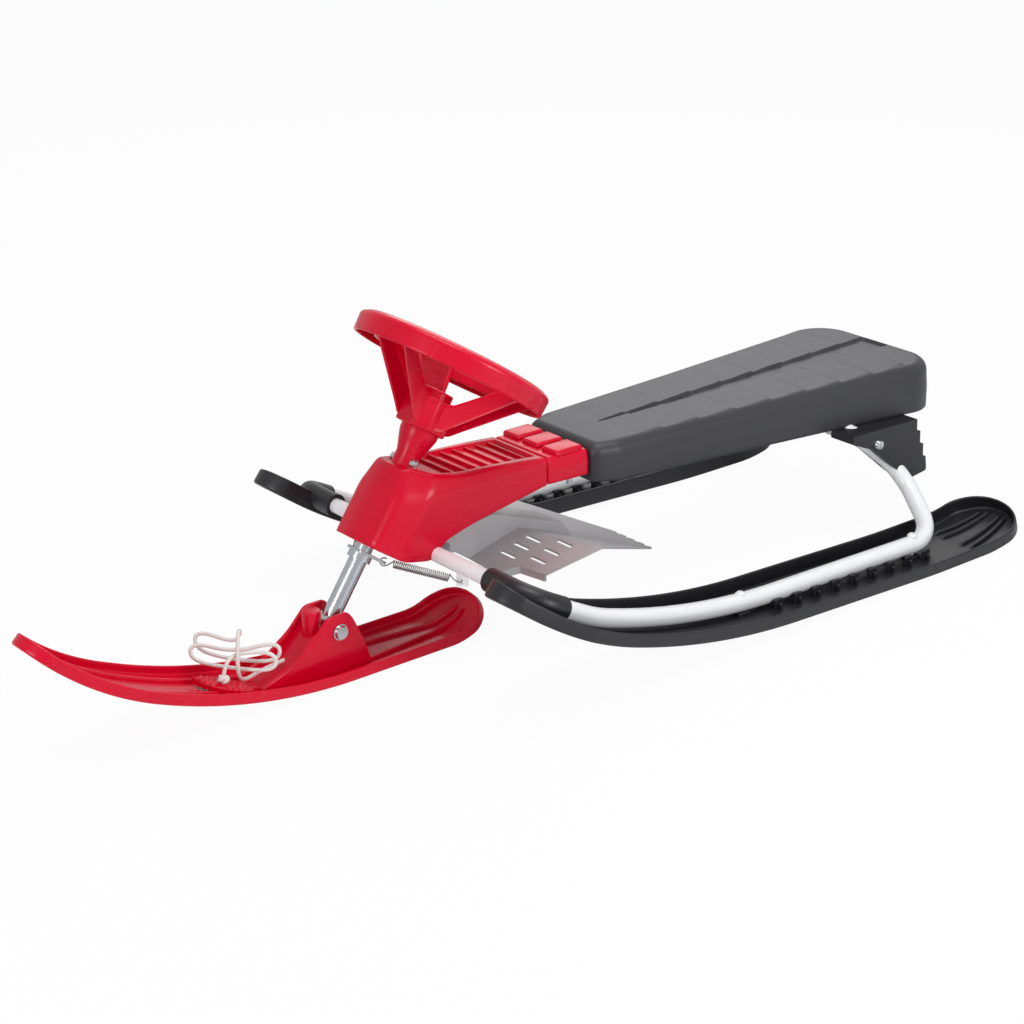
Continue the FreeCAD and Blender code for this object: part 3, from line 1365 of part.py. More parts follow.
def smooth_edges(stations):
    """Edges through (point, heading) stations, two tangent arcs for each run."""
    edges = []
    for (first, leave), (last, arrive) in zip(stations, stations[1:]):
        span = last - first
        turn = 1 - leave.dot(arrive)
        along = span.dot(leave + arrive)
        if turn < 1e-9:
            reach = span.dot(span) / (2 * along)
        else:
            root = math.sqrt(4 * along * along + 8 * turn * span.dot(span))
            reach = (root - 2 * along) / (4 * turn)
        near = first + leave * reach
        far = last - arrive * reach
        joint = (near + far) * 0.5
        edges.append(bow(first, near, joint))
        edges.append(bow(joint, far, last))
    return edges


def coil_stations(start, axis, side, radius, turns, pitch):
    """Half-turn stations of a coil that climbs along an axis."""
    other = axis.cross(side)
    stations = []
    for index in range(int(2 * turns) + 1):
        angle = math.pi * index
        spoke = side * math.cos(angle) + other * math.sin(angle)
        swing = other * math.cos(angle) - side * math.sin(angle)
        heading = swing * (2 * math.pi * radius) + axis * pitch
        heading.normalize()
        stations.append((start + axis * (pitch * index / 2) + spoke * radius, heading))
    return stations


def least_gap(edges, wire_radius, skip):
    """Least clear distance between parts of a wire more than skip millimetres apart along it."""
    spots = []
    walked = 0.0
    for edge in edges:
        count = max(2, int(edge.Length / 1.0) + 1)
        for point in edge.discretize(count)[:-1]:
            spots.append((walked, point))
            walked += edge.Length / (count - 1)
    least = 1e9
    for index, (here, point) in enumerate(spots):
        for there, other in spots[index + 1:]:
            if there - here > skip and walked - (there - here) > skip:
                least = min(least, point.distanceToPoint(other))
    return least - 2 * wire_radius


def wire_rod(name, edges, radius):
    """One unbroken round wire swept along edges."""
    path = Part.Wire(edges)
    first = edges[0]
    ring = Part.Wire([Part.makeCircle(radius, first.valueAt(first.FirstParameter),
                                      first.tangentAt(first.FirstParameter))])
    return formed(name, path.makePipeShell([ring], True, False))


# Return springs: a close coil between the bracket's ear and a tab under the cross tube
EAR_HOLE = COLUMN.multVec(Vector(EAR_X, EAR_Y, size("bracket_s") + size("bracket_plate") / 2))
TAB_HOLE = Vector(CROSS.x, size("anchor_y"), CROSS.z - size("anchor_drop"))
COLUMN_UP = RAKE_TURN.multVec(Vector(0, 0, 1))
pull = TAB_HOLE - EAR_HOLE
SPRING_LENGTH = pull.Length
pull.normalize()
ear_across = COLUMN_UP - pull * COLUMN_UP.dot(pull)
ear_across.normalize()
tab_across = Vector(pull.y, -pull.x, 0)
tab_across.normalize()
HOOK = size("hook_radius")
LEAD = size("spring_lead")
COIL_LENGTH = SPRING_LENGTH - 2 * LEAD
PITCH = COIL_LENGTH / size("spring_turns")
coil = coil_stations(EAR_HOLE + pull * LEAD, pull, ear_across, size("spring_radius"),
                     size("spring_turns"), PITCH)
front_hook = [
    (EAR_HOLE + pull * (HOOK + 2) + ear_across * HOOK, pull * -1),
    (EAR_HOLE + pull * HOOK + ear_across * HOOK, pull * -1),
    (EAR_HOLE, ear_across * -1),
    (EAR_HOLE + pull * HOOK - ear_across * HOOK, pull),
]
rear_hook = [
    (TAB_HOLE - pull * HOOK - tab_across * HOOK, pull),
    (TAB_HOLE, tab_across),
    (TAB_HOLE - pull * HOOK + tab_across * HOOK, pull * -1),
    (TAB_HOLE - pull * (HOOK + 2) + tab_across * HOOK, pull * -1),
]
spring_edges = smooth_edges(front_hook + coil + rear_hook)
print("spring: least gap to itself", round(least_gap(spring_edges, size("spring_wire"), 6.0), 2),
      "pitch", round(PITCH, 2))
left_spring = keep("left_return_spring", wire_rod("left_spring", spring_edges, size("spring_wire")))
keep("right_return_spring", mirrored("right_spring", left_spring))
TAB_TURN = Rotation(Vector(0, 0, 1), math.degrees(math.atan2(tab_across.y, tab_across.x)))
tab_form = block("tab_form", "2.5", "12", "Sizes.anchor_drop + 5",
                 TAB_HOLE + TAB_TURN.multVec(Vector(-1.25, -6, -5)), TAB_TURN)
tab_drill = cylinder("tab_drill", "2.2", "12", Placement(
    TAB_HOLE - tab_across * 6, Rotation(Vector(0, 0, 1), tab_across)))
tab_left = cut("tab_left", cut("tab_drilled", tab_form, tab_drill), cross_rod)
keep("spring_anchors", fuse("spring_anchors", [tab_left, mirrored("tab_right", tab_left)]))

# Brake return spring: a short torsion coil around the brake's pin, with a straight leg at
# each end
BRAKE_COIL_R = size("brake_pin_radius") + 1.3
BRAKE_TURNS = 6
BRAKE_PITCH = 2.2
BRAKE_WIRE_R = 0.8
BRAKE_LEG = 8.0
AXIS_Y = Vector(0, 1, 0)
brake_coil = coil_stations(BRAKE_PIVOT - Vector(0, BRAKE_TURNS * BRAKE_PITCH / 2, 0), AXIS_Y,
                           Vector(0, 0, -1), BRAKE_COIL_R, BRAKE_TURNS, BRAKE_PITCH)
leg_in = brake_coil[0]
leg_out = brake_coil[-1]
brake_spring_edges = smooth_edges(
    [(leg_in[0] - leg_in[1] * BRAKE_LEG, leg_in[1])]
    + brake_coil
    + [(leg_out[0] + leg_out[1] * BRAKE_LEG, leg_out[1])])
print("brake spring: least gap to itself",
      round(least_gap(brake_spring_edges, BRAKE_WIRE_R, 8.0), 2))
keep("brake_spring", wire_rod("brake_spring_form", brake_spring_edges, BRAKE_WIRE_R))

# Pull cord: a tied bundle of loops on the front ski, laid out in the plane of the bundle
# (across, up, out) around its knot, then the lens-shaped handle with its ribs
BUNDLE = Vector(352, -4, 44)
ACROSS_DIR = Vector(-0.7597, 0.6502, 0)
UP_DIR = Vector(-0.243, -0.284, 0.9275)
OUT_DIR = Vector(0.6032, 0.7047, 0.3737)


def bundle_spot(across, up, out):
    """A spot of the bundle in the sled's frame."""
    return BUNDLE + ACROSS_DIR * across + UP_DIR * up + OUT_DIR * out


HANDLE_AT = Vector(377, 13, 27)
KNOT_AT = HANDLE_AT + Vector(-1, 0, 7)
CORD_TURNS = [
    (-6, -6, 24, 9),
    (3, 5, 14, 10),
    (42, 6, 10, 8.5),
    (42, -13, 8, 8.5),
    (2, -11, 5, 40),
    (-42, -4, 3, 8.5),
    (-42, 15, 1, 8.5),
    (0, 4, -2, 40),
    (44, 16, -5, 8.5),
    (44, -5, -8, 8.5),
    (0, -4, -11, 40),
    (-40, 6, -14, 8.5),
    (-40, 26, -16, 8.5),
    (0, 12, -18, 12),
    (5, 26, -12, 9),
    (6, 26, 20, 9),
    (6, -18, 18.5, 9),
    (9, -24, -18, 9),
    (24, -14, -25, 12),
]
CORD_END = Vector(299, 5, 28)
cord_route = [(KNOT_AT.x, KNOT_AT.y, KNOT_AT.z, 0)]
for across, up, out, bend in CORD_TURNS:
    spot = bundle_spot(across, up, out)
    cord_route.append((spot.x, spot.y, spot.z, bend))
cord_route.append((CORD_END.x, CORD_END.y, CORD_END.z, 0))
cord_wire = path_wire(cord_route)
cord_edges = cord_wire.OrderedEdges
cord_radius = size("cord_radius")
cord = formed("pull_cord_form", rod_along(cord_wire, cord_radius))
print("cord: length", round(cord_wire.Length, 1),
      "least gap to itself", round(least_gap(cord_edges, cord_radius, 30.0), 2),
      "least bend", min(bend for across, up, out, bend in CORD_TURNS),
      "volume over section times length",
      round(cord.Shape.Volume / (math.pi * cord_radius ** 2 * cord_wire.Length), 4))
HANDLE_TURN = Rotation(Vector(0.70, -0.66, 0.19), Vector(0.60, 0.75, 0.10), Vector(0, 0, 1), "XZY")
handle_place = Placement(HANDLE_AT, HANDLE_TURN)
HANDLE_HALF = size("handle_half")
HANDLE_SIDE = size("handle_half_width")
BAR_WIDTH = size("handle_bar_width")
BAR_HEIGHT = size("handle_bar_height")
BAR_PITCH = size("handle_bar_pitch")
left_tip = Vector(-HANDLE_HALF, 0, 0)
right_tip = Vector(HANDLE_HALF, 0, 0)
handle_sketch = sketch_at("handle_outline", "XY", [
    ("arc", left_tip, Vector(0, -HANDLE_SIDE, 0), right_tip),
    ("arc", right_tip, Vector(0, HANDLE_SIDE, 0), left_tip),
])
handle_sketch.Placement = handle_place.multiply(
    Placement(Vector(0, 0, -size("handle_core") / 2), Rotation()))
handle_core = doc.addObject("Part::Extrusion", "handle_core")
handle_core.Base = handle_sketch
handle_core.DirMode = "Normal"
handle_core.Solid = True
handle_core.setExpression("LengthFwd", "Sizes.handle_core")
handle_bars = []
for index in (-4, -3, -2, -1, 1, 2, 3, 4):
    reach = size("handle_bar_reach") * (1 - (index * BAR_PITCH / HANDLE_HALF) ** 2)
    corner = Vector(index * BAR_PITCH - BAR_WIDTH / 2, -reach, -BAR_HEIGHT / 2)
    handle_bars.append(block("handle_bar%d" % index, "Sizes.handle_bar_width", "%.2f" % (2 * reach),
                             "Sizes.handle_bar_height", handle_place.multVec(corner), HANDLE_TURN))
handle_form = fuse("handle_form", [handle_core] + handle_bars)
knot_ball = doc.addObject("Part::Sphere", "knot_ball")
knot_ball.setExpression("Radius", "Sizes.knot_radius")
knot_ball.Placement = Placement(KNOT_AT, Rotation())
handle_clear = cut("handle_clear", handle_form, knot_ball)
keep("cord_handle", cut("cord_handle", handle_clear, NODES["front_ski"]))
keep("cord_knot", knot_ball)
keep("pull_cord", cut("pull_cord", cut("pull_cord_free", cord, knot_ball), NODES["front_ski"]))

doc.recompute()

# Checks before anything is written
faulty = [item.Name for item in doc.Objects if "Invalid" in item.State or "Error" in item.State]
for node, solid in NODES.items():
    shape = solid.Shape
    if shape.isNull() or not shape.isValid() or not shape.Solids:
        faulty.append(node)
if faulty:
    raise RuntimeError("faulty objects: " + ", ".join(faulty))

os.makedirs("parts", exist_ok=True)
for node, solid in NODES.items():
    print(node, len(solid.Shape.Solids), round(solid.Shape.Volume, 1))
    solid.Shape.exportStep("parts/%s.step" % node)
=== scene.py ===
"""Dressed model of a steering sled with three skis, a wheel, a moulded seat and a foot brake."""

import logging
import math
from dataclasses import dataclass, field
from enum import Enum
from itertools import accumulate

import bmesh
import bpy
import numpy as np
from mathutils import Matrix


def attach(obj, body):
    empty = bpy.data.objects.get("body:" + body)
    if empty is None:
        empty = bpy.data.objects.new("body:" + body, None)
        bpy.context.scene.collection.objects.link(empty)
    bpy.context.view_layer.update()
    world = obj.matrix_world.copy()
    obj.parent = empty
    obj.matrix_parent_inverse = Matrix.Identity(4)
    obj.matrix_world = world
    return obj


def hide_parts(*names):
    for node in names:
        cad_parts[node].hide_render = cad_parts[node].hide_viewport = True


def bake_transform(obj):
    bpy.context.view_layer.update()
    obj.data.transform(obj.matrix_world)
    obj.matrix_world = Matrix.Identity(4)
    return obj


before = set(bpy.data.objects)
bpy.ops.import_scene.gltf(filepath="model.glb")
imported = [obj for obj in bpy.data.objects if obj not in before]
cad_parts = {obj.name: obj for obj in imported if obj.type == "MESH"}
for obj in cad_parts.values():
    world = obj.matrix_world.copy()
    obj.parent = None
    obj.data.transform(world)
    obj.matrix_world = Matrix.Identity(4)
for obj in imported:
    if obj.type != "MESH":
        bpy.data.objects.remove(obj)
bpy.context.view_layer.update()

LOG = logging.getLogger("steering_sled")
MM = 0.001
RAKE = math.radians(33.9)
COLUMN_BASE = np.array([237.6, 0.0, 56.0])
COLUMN_AXES = np.array([
    [math.cos(RAKE), 0.0, math.sin(RAKE)],
    [0.0, 1.0, 0.0],
    [-math.sin(RAKE), 0.0, math.cos(RAKE)],
])
FLAT_AXES = np.eye(3)


class Side(Enum):
    """Which half of the sled a mirrored piece belongs to; the value is the sign of its y."""

    LEFT = 1.0
    RIGHT = -1.0


# Finishes


def linear(colour: str) -> tuple[float, float, float, float]:
    """Turns an sRGB hex colour into linear RGBA.

    Args:
        colour: Six hex digits after a hash sign.

    Returns:
        The linear red, green and blue with an alpha of one.
    """
    part = np.array([int(colour[at:at + 2], 16) for at in (1, 3, 5)]) / 255.0
    low = part / 12.92
    high = ((part + 0.055) / 1.055) ** 2.4
    red, green, blue = np.where(part <= 0.04045, low, high).tolist()
    return red, green, blue, 1.0


def add(
    tree: bpy.types.NodeTree,
    kind: str,
    settings: dict | None = None,
    values: dict | None = None,
    links: dict | None = None,
) -> bpy.types.Node:
    """Adds one node with its settings, its sockets' values and its links.

    Args:
        tree: The material's node tree.
        kind: Blender's type name of the node.
        settings: Properties of the node itself.
        values: Plain values by socket name or number.
        links: Output sockets by the name or number of the input they feed.

    Returns:
        The new node.
    """
    node = tree.nodes.new(kind)
    for key, value in (settings or {}).items():
        setattr(node, key, value)
    for key, value in (values or {}).items():
        node.inputs[key].default_value = value
    for key, source in (links or {}).items():
        tree.links.new(source, node.inputs[key])
    return node


def blank_material(name: str) -> tuple[bpy.types.Material, bpy.types.NodeTree]:
    """Makes an empty node material.

    Args:
        name: Name of the real material.

    Returns:
        The material and its cleared node tree.
    """
    material = bpy.data.materials.new(name)
    material.use_nodes = True
    material.node_tree.nodes.clear()
    return material, material.node_tree


def streaks(
    tree: bpy.types.NodeTree, place: bpy.types.NodeSocket, size_mm: tuple[float, float, float],
    turn: float = 0.0,
) -> bpy.types.Node:
    """Noise drawn out along one axis, as handling scratches and drawing marks are.

    Args:
        tree: The material's node tree.
        place: Coordinates to read.
        size_mm: Length of one mark along x, y and z, in millimetres.
        turn: Turn about y in radians.

    Returns:
        The noise node.
    """
    spread = add(
        tree, "ShaderNodeMapping",
        values={"Scale": tuple(1.0 / (side * MM) for side in size_mm), "Rotation": (0.0, turn, 0.0)},
        links={"Vector": place},
    )
    return add(
        tree, "ShaderNodeTexNoise", values={"Scale": 1.0, "Detail": 3.0, "Roughness": 0.6},
        links={"Vector": spread.outputs["Vector"]},
    )


def mixed(
    tree: bpy.types.NodeTree, first: str, second: str, share: bpy.types.NodeSocket,
) -> bpy.types.NodeSocket:
    """Blends two hex colours.

    Args:
        tree: The material's node tree.
        first: Colour at a share of nothing.
        second: Colour at a share of one.
        share: Socket that gives the share.

    Returns:
        The socket of the blended colour.
    """
    return add(
        tree, "ShaderNodeMix", {"data_type": "RGBA"}, {6: linear(first), 7: linear(second)},
        {0: share},
    ).outputs[2]


def raised(
    tree: bpy.types.NodeTree, height: bpy.types.Node, depth_mm: float, strength: float = 1.0,
) -> bpy.types.NodeSocket:
    """Bends the normal by a noise read as height.

    Args:
        tree: The material's node tree.
        height: The noise node.
        depth_mm: Height of the noise in millimetres.
        strength: Share of the effect.

    Returns:
        The socket of the bent normal.
    """
    return add(
        tree, "ShaderNodeBump", values={"Strength": strength, "Distance": depth_mm * MM},
        links={"Height": height.outputs["Fac"]},
    ).outputs["Normal"]


def surfaced(
    material: bpy.types.Material, values: dict, colour: bpy.types.NodeSocket,
    normal: bpy.types.NodeSocket, roughness: bpy.types.NodeSocket | None = None,
) -> bpy.types.Material:
    """Ends a material with its shader and output.

    Args:
        material: The material.
        values: Plain values of the shader.
        colour: Socket of the base colour.
        normal: Socket of the normal.
        roughness: Socket of the roughness, where it varies.

    Returns:
        The same material.
    """
    links = {"Base Color": colour, "Normal": normal}
    if roughness:
        links["Roughness"] = roughness
    shader = add(material.node_tree, "ShaderNodeBsdfPrincipled", values=values, links=links)
    add(material.node_tree, "ShaderNodeOutputMaterial", links={"Surface": shader.outputs["BSDF"]})
    return material


@dataclass(frozen=True)
class MouldedPlastic:
    """Injection-moulded polypropylene.

    The mould gives an even colour with faint flow marks, a skin whose grain breaks the
    highlight a little, and shallow scuffs from handling that show as duller streaks.
    """

    name: str
    slot: str
    colour: str
    flow_colour: str
    roughness: float
    grain_mm: float
    grain_depth_mm: float
    scuff: float
    shine: float = 0.5

    def material(self) -> bpy.types.Material:
        """Builds the node material."""
        material, tree = blank_material(self.name)
        place = add(tree, "ShaderNodeTexCoord").outputs["Object"]
        flow = streaks(tree, place, (90.0, 40.0, 40.0))
        colour = mixed(tree, self.colour, self.flow_colour, flow.outputs["Fac"])
        scuffs = streaks(tree, place, (26.0, 1.1, 1.6))
        dulled = add(
            tree, "ShaderNodeMapRange", values={
                "From Min": 0.56, "From Max": 0.74,
                "To Min": self.roughness, "To Max": self.roughness + self.scuff,
            }, links={"Value": scuffs.outputs["Fac"]},
        )
        grain = add(
            tree, "ShaderNodeTexNoise",
            values={"Scale": 1.0 / (self.grain_mm * MM), "Detail": 2.0, "Roughness": 0.5},
            links={"Vector": place},
        )
        normal = raised(tree, grain, self.grain_depth_mm)
        return surfaced(material, {"IOR": 1.49, "Specular IOR Level": self.shine}, colour, normal,
                        dulled.outputs["Result"])


@dataclass(frozen=True)
class PlatedMetal:
    """Zinc-plated, drawn or rolled steel.

    Plating gives a bright grey with slightly darker clouds; drawing or rolling leaves fine
    lines along the metal, which stretch its highlights.
    """

    name: str
    slot: str
    colour: str
    cloud_colour: str
    roughness: float
    line_mm: tuple[float, float, float]
    line_depth_mm: float
    turn: float = 0.0
    metallic: float = 1.0

    def material(self) -> bpy.types.Material:
        """Builds the node material."""
        material, tree = blank_material(self.name)
        place = add(tree, "ShaderNodeTexCoord").outputs["Object"]
        cloud = add(
            tree, "ShaderNodeTexNoise", values={"Scale": 1.0 / (14.0 * MM), "Detail": 4.0},
            links={"Vector": place},
        )
        colour = mixed(tree, self.colour, self.cloud_colour, cloud.outputs["Fac"])
        lines = streaks(tree, place, self.line_mm, self.turn)
        rough = add(
            tree, "ShaderNodeMapRange",
            values={"From Min": 0.3, "From Max": 0.7,
                    "To Min": self.roughness * 0.8, "To Max": self.roughness * 1.35},
            links={"Value": lines.outputs["Fac"]},
        )
        normal = raised(tree, lines, self.line_depth_mm)
        return surfaced(material, {"Metallic": self.metallic}, colour, normal,
                        rough.outputs["Result"])


@dataclass(frozen=True)
class PowderCoat:
    """White polyester powder coat baked on steel tube.

    It melts into a thick gloss skin with a soft orange peel, and dulls a little where it is
    rubbed.
    """

    name: str
    slot: str
    colour: str
    rubbed_colour: str
    roughness: float
    peel_mm: float
    peel_depth_mm: float

    def material(self) -> bpy.types.Material:
        """Builds the node material."""
        material, tree = blank_material(self.name)
        place = add(tree, "ShaderNodeTexCoord").outputs["Object"]
        rubbed = streaks(tree, place, (30.0, 12.0, 12.0))
        share = add(
            tree, "ShaderNodeMapRange", values={"From Min": 0.55, "From Max": 0.8},
            links={"Value": rubbed.outputs["Fac"]},
        )
        colour = mixed(tree, self.colour, self.rubbed_colour, share.outputs["Result"])
        rough = add(
            tree, "ShaderNodeMapRange",
            values={"To Min": self.roughness, "To Max": self.roughness + 0.18},
            links={"Value": share.outputs["Result"]},
        )
        peel = add(
            tree, "ShaderNodeTexNoise",
            values={"Scale": 1.0 / (self.peel_mm * MM), "Detail": 1.0},
            links={"Vector": place},
        )
        normal = raised(tree, peel, self.peel_depth_mm)
        return surfaced(material, {"IOR": 1.5, "Coat Weight": 0.3, "Coat Roughness": 0.1},
                        colour, normal, rough.outputs["Result"])


@dataclass(frozen=True)
class BraidedYarn:
    """Braided white polypropylene yarn.

    Its strands are modelled; the finish adds the fibres that lie along them, a soft sheen and
    painted shade that darkens the hollows between strands.
    """

    name: str
    slot: str
    colour: str
    # painted shade: the colour given to the hollows between strands
    hollow_shade_colour: str
    fibre_mm: float

    def material(self) -> bpy.types.Material:
        """Builds the node material."""
        material, tree = blank_material(self.name)
        along = add(tree, "ShaderNodeUVMap", {"uv_map": "braid"}).outputs["UV"]
        spread = add(
            tree, "ShaderNodeMapping",
            values={"Scale": (1.0 / (8.0 * self.fibre_mm), 36.0, 1.0), "Rotation": (0.0, 0.0, 0.5)},
            links={"Vector": along},
        )
        fibre = add(
            tree, "ShaderNodeTexNoise", values={"Scale": 1.0, "Detail": 2.0},
            links={"Vector": spread.outputs["Vector"]},
        )
        # painted shade: the strand relief darkens the colour towards the hollows between strands
        relief = add(tree, "ShaderNodeAttribute", {"attribute_name": "strand"})
        colour = mixed(tree, self.hollow_shade_colour, self.colour, relief.outputs["Fac"])
        normal = raised(tree, fibre, self.fibre_mm, 0.7)
        return surfaced(material, {"Roughness": 0.62, "IOR": 1.49, "Sheen Weight": 0.25}, colour,
                        normal)


# Gloss red: a polished mould, so the grain is only the faint waviness of the skin
RED = MouldedPlastic("glossy red polypropylene", "red_moulding", "#E0002E", "#D2002A",
                     0.26, 3.0, 0.012, 0.05, 0.3)
# Satin black of the skis: a fine eroded mould surface that turns grey at a glance
BLACK = MouldedPlastic("satin black polypropylene", "black_moulding", "#19191C", "#222226",
                       0.38, 1.2, 0.03, 0.12)
# Charcoal of the seat: the same plastic with more pigment and a leather-fine grain
CHARCOAL = MouldedPlastic("charcoal grained polypropylene", "seat_moulding", "#38383D",
                          "#313136", 0.44, 0.9, 0.05, 0.10)
NYLON = MouldedPlastic("natural nylon", "nylon", "#D8D6CE", "#CFCCC2", 0.4, 0.8, 0.02, 0.1)
WHITE = PowderCoat("white powder coat", "white_paint", "#F7F7F8", "#EEEEF0", 0.22, 1.6, 0.02)
# The shaft's drawing marks run along the column
ZINC = PlatedMetal("bright zinc plate", "zinc", "#D3D6DA", "#B7BBC1", 0.2,
                   (0.4, 0.4, 40.0), 0.004, -RAKE)
# Rolled sheet, whose lines run along the brake
SHEET = PlatedMetal("rolled galvanised sheet", "grey_sheet", "#C2BFC1", "#B3B0B2", 0.45,
                    (60.0, 0.7, 0.7), 0.005, 0.0, 0.45)
WIRE = PlatedMetal("drawn spring steel", "spring_steel", "#B4B2B0", "#8C8A88", 0.3,
                   (1.5, 1.5, 1.5), 0.004)
# the second colour is painted shade for the hollows between strands
YARN = BraidedYarn("braided white polypropylene", "cord", "#F1ECE7", "#C9BFB8", 0.12)
Finish = MouldedPlastic | PlatedMetal | PowderCoat | BraidedYarn


class Paintshop:
    """Builds each finish once and puts it on pieces and nodes."""

    def __init__(self) -> None:
        """Starts with nothing mixed."""
        self.mixed: dict[str, bpy.types.Material] = {}

    def of(self, finish: Finish) -> bpy.types.Material:
        """The material of a finish.

        Args:
            finish: The finish wanted.

        Returns:
            Its material, built at the first call.
        """
        if finish.name not in self.mixed:
            self.mixed[finish.name] = finish.material()
        return self.mixed[finish.name]

    def coat(self, piece: bpy.types.Object, finish: Finish) -> None:
        """Gives an object one finish on every face.

        Args:
            piece: A mesh object.
            finish: The finish that it gets.
        """
        piece.data.materials.clear()
        piece.data.materials.append(self.of(finish))


SHOP = Paintshop()


# Surfaces


def smooth(value: np.ndarray) -> np.ndarray:
    """Eases 0 to 1 with flat ends: three squares minus two cubes."""
    share = np.clip(value, 0.0, 1.0)
    return share * share * (3.0 - 2.0 * share)


def hump(value: np.ndarray, low: float, high: float, ease: float) -> np.ndarray:
    """One between low and high, zero outside, easing over a given length at both ends."""
    return smooth((value - low) / ease) * smooth((high - value) / ease)


def unit(vector: np.ndarray) -> np.ndarray:
    """Vectors of length one in the same directions."""
    return vector / np.linalg.norm(vector, axis=-1, keepdims=True)


def grid_faces(rows: int, columns: int, loop: bool, start: int = 0) -> np.ndarray:
    """Corner numbers of the quads of a grid.

    Point (row, column) has the number start + row * columns + column, and each quad joins
    four neighbours; with loop, the last column also joins the first.

    Args:
        rows: Number of rows.
        columns: Number of columns.
        loop: Whether the columns close into a ring.
        start: Number of the first point.

    Returns:
        An array with four corner numbers for each quad.
    """
    across = columns if loop else columns - 1
    row, column = np.meshgrid(np.arange(rows - 1), np.arange(across), indexing="ij")
    after = (column + 1) % columns
    quads = [row * columns + column, row * columns + after,
             (row + 1) * columns + after, (row + 1) * columns + column]
    return np.stack(quads, axis=-1).reshape(-1, 4) + start


def arc_length(path: np.ndarray) -> np.ndarray:
    """Distance walked along a row of points, from zero."""
    return np.concatenate([[0.0], np.cumsum(np.linalg.norm(np.diff(path, axis=0), axis=1))])


def rounded_loop(corners: list[tuple[float, float, float]], count: int) -> np.ndarray:
    """Closed outline with rounded corners, at even steps.

    Each corner is cut back by radius / tan(half its angle) on both sides and bridged with
    the arc that touches both sides there; the whole outline is then walked at even steps.

    Args:
        corners: x, y and corner radius of each corner, in order.
        count: Number of points wanted.

    Returns:
        An array of count points.
    """
    spots = np.array([corner[:2] for corner in corners], float)
    radii = np.array([corner[2] for corner in corners], float)
    back = unit(np.roll(spots, 1, axis=0) - spots)
    ahead = unit(np.roll(spots, -1, axis=0) - spots)
    cosine = np.clip((back * ahead).sum(axis=1), -0.99999, 0.99999)
    half = np.arccos(cosine) / 2.0
    reach = radii / np.tan(half)
    middle = spots + unit(back + ahead) * (radii / np.sin(half))[:, None]
    first = spots + back * reach[:, None] - middle
    last = spots + ahead * reach[:, None] - middle
    share = np.linspace(0.0, 1.0, 24)[None, :, None]
    sweep = (math.pi - 2.0 * half)[:, None, None]
    arcs = (np.sin((1.0 - share) * sweep) * first[:, None] + np.sin(share * sweep) * last[:, None])
    arcs = arcs / np.sin(sweep) + middle[:, None]
    track = arcs.reshape(-1, 2)
    track = np.concatenate([track, track[:1]])
    walked = arc_length(track)
    steps = np.linspace(0.0, walked[-1], count, endpoint=False)
    return np.stack([np.interp(steps, walked, track[:, axis]) for axis in (0, 1)], axis=1)


def rounded_square(half: float, radius: float, count: int) -> np.ndarray:
    """Outline of a square with rounded corners: nearly a circle where the radius is half of it."""
    corners = [(x * half, y * half, radius) for x, y in ((-1, -1), (1, -1), (1, 1), (-1, 1))]
    return rounded_loop(corners, count)


def inward(loop: np.ndarray) -> np.ndarray:
    """Unit normals of a closed plane outline, pointing into it."""
    tangent = unit(np.roll(loop, -1, axis=0) - np.roll(loop, 1, axis=0))
    normal = np.stack([-tangent[:, 1], tangent[:, 0]], axis=1)
    x, y = loop.T
    area = (x * np.roll(y, -1) - np.roll(x, -1) * y).sum()
    return normal * np.sign(area)


def transported(path: np.ndarray, closed: bool = False) -> tuple[np.ndarray, np.ndarray]:
    """Two unit directions across a path at each of its points, without twist.

    The first direction is carried from point to point, each time less its part along the
    path; the second is the path's heading crossed with it.

    Args:
        path: Points of the path.
        closed: Whether the path is a ring.

    Returns:
        The two directions for every point.
    """
    if closed:
        heading = unit(np.roll(path, -1, axis=0) - np.roll(path, 1, axis=0))
    else:
        heading = unit(np.gradient(path, axis=0))
    seed = np.eye(3)[np.argmin(np.abs(heading[0]))]
    seed = unit(seed - heading[0] * (seed @ heading[0]))
    first = np.array(list(accumulate(
        heading[1:], lambda held, ahead: unit(held - ahead * (held @ ahead)), initial=seed)))
    return first, np.cross(heading, first)


def tube(path: np.ndarray, radius: float | np.ndarray, sides: int) -> tuple[np.ndarray, np.ndarray]:
    """Round rod along a path with closed ends.

    Each point of the path carries a ring: centre plus radius times cosine of the angle on one
    direction across and sine on the other. The end rings shrink to a point.

    Args:
        path: Points of the path.
        radius: One radius, or one for each point and side.
        sides: Points of one ring.

    Returns:
        Points and quads.
    """
    first, second = transported(path)
    angle = np.linspace(0.0, 2.0 * math.pi, sides, endpoint=False)
    reach = np.broadcast_to(np.asarray(radius, float), (len(path), sides))
    ring = first[:, None] * np.cos(angle)[None, :, None]
    ring = ring + second[:, None] * np.sin(angle)[None, :, None]
    body = path[:, None] + ring * reach[..., None]
    points = np.concatenate([
        np.repeat(path[:1, None], sides, axis=1), body, np.repeat(path[-1:, None], sides, axis=1)])
    return points.reshape(-1, 3), grid_faces(len(points), sides, True)


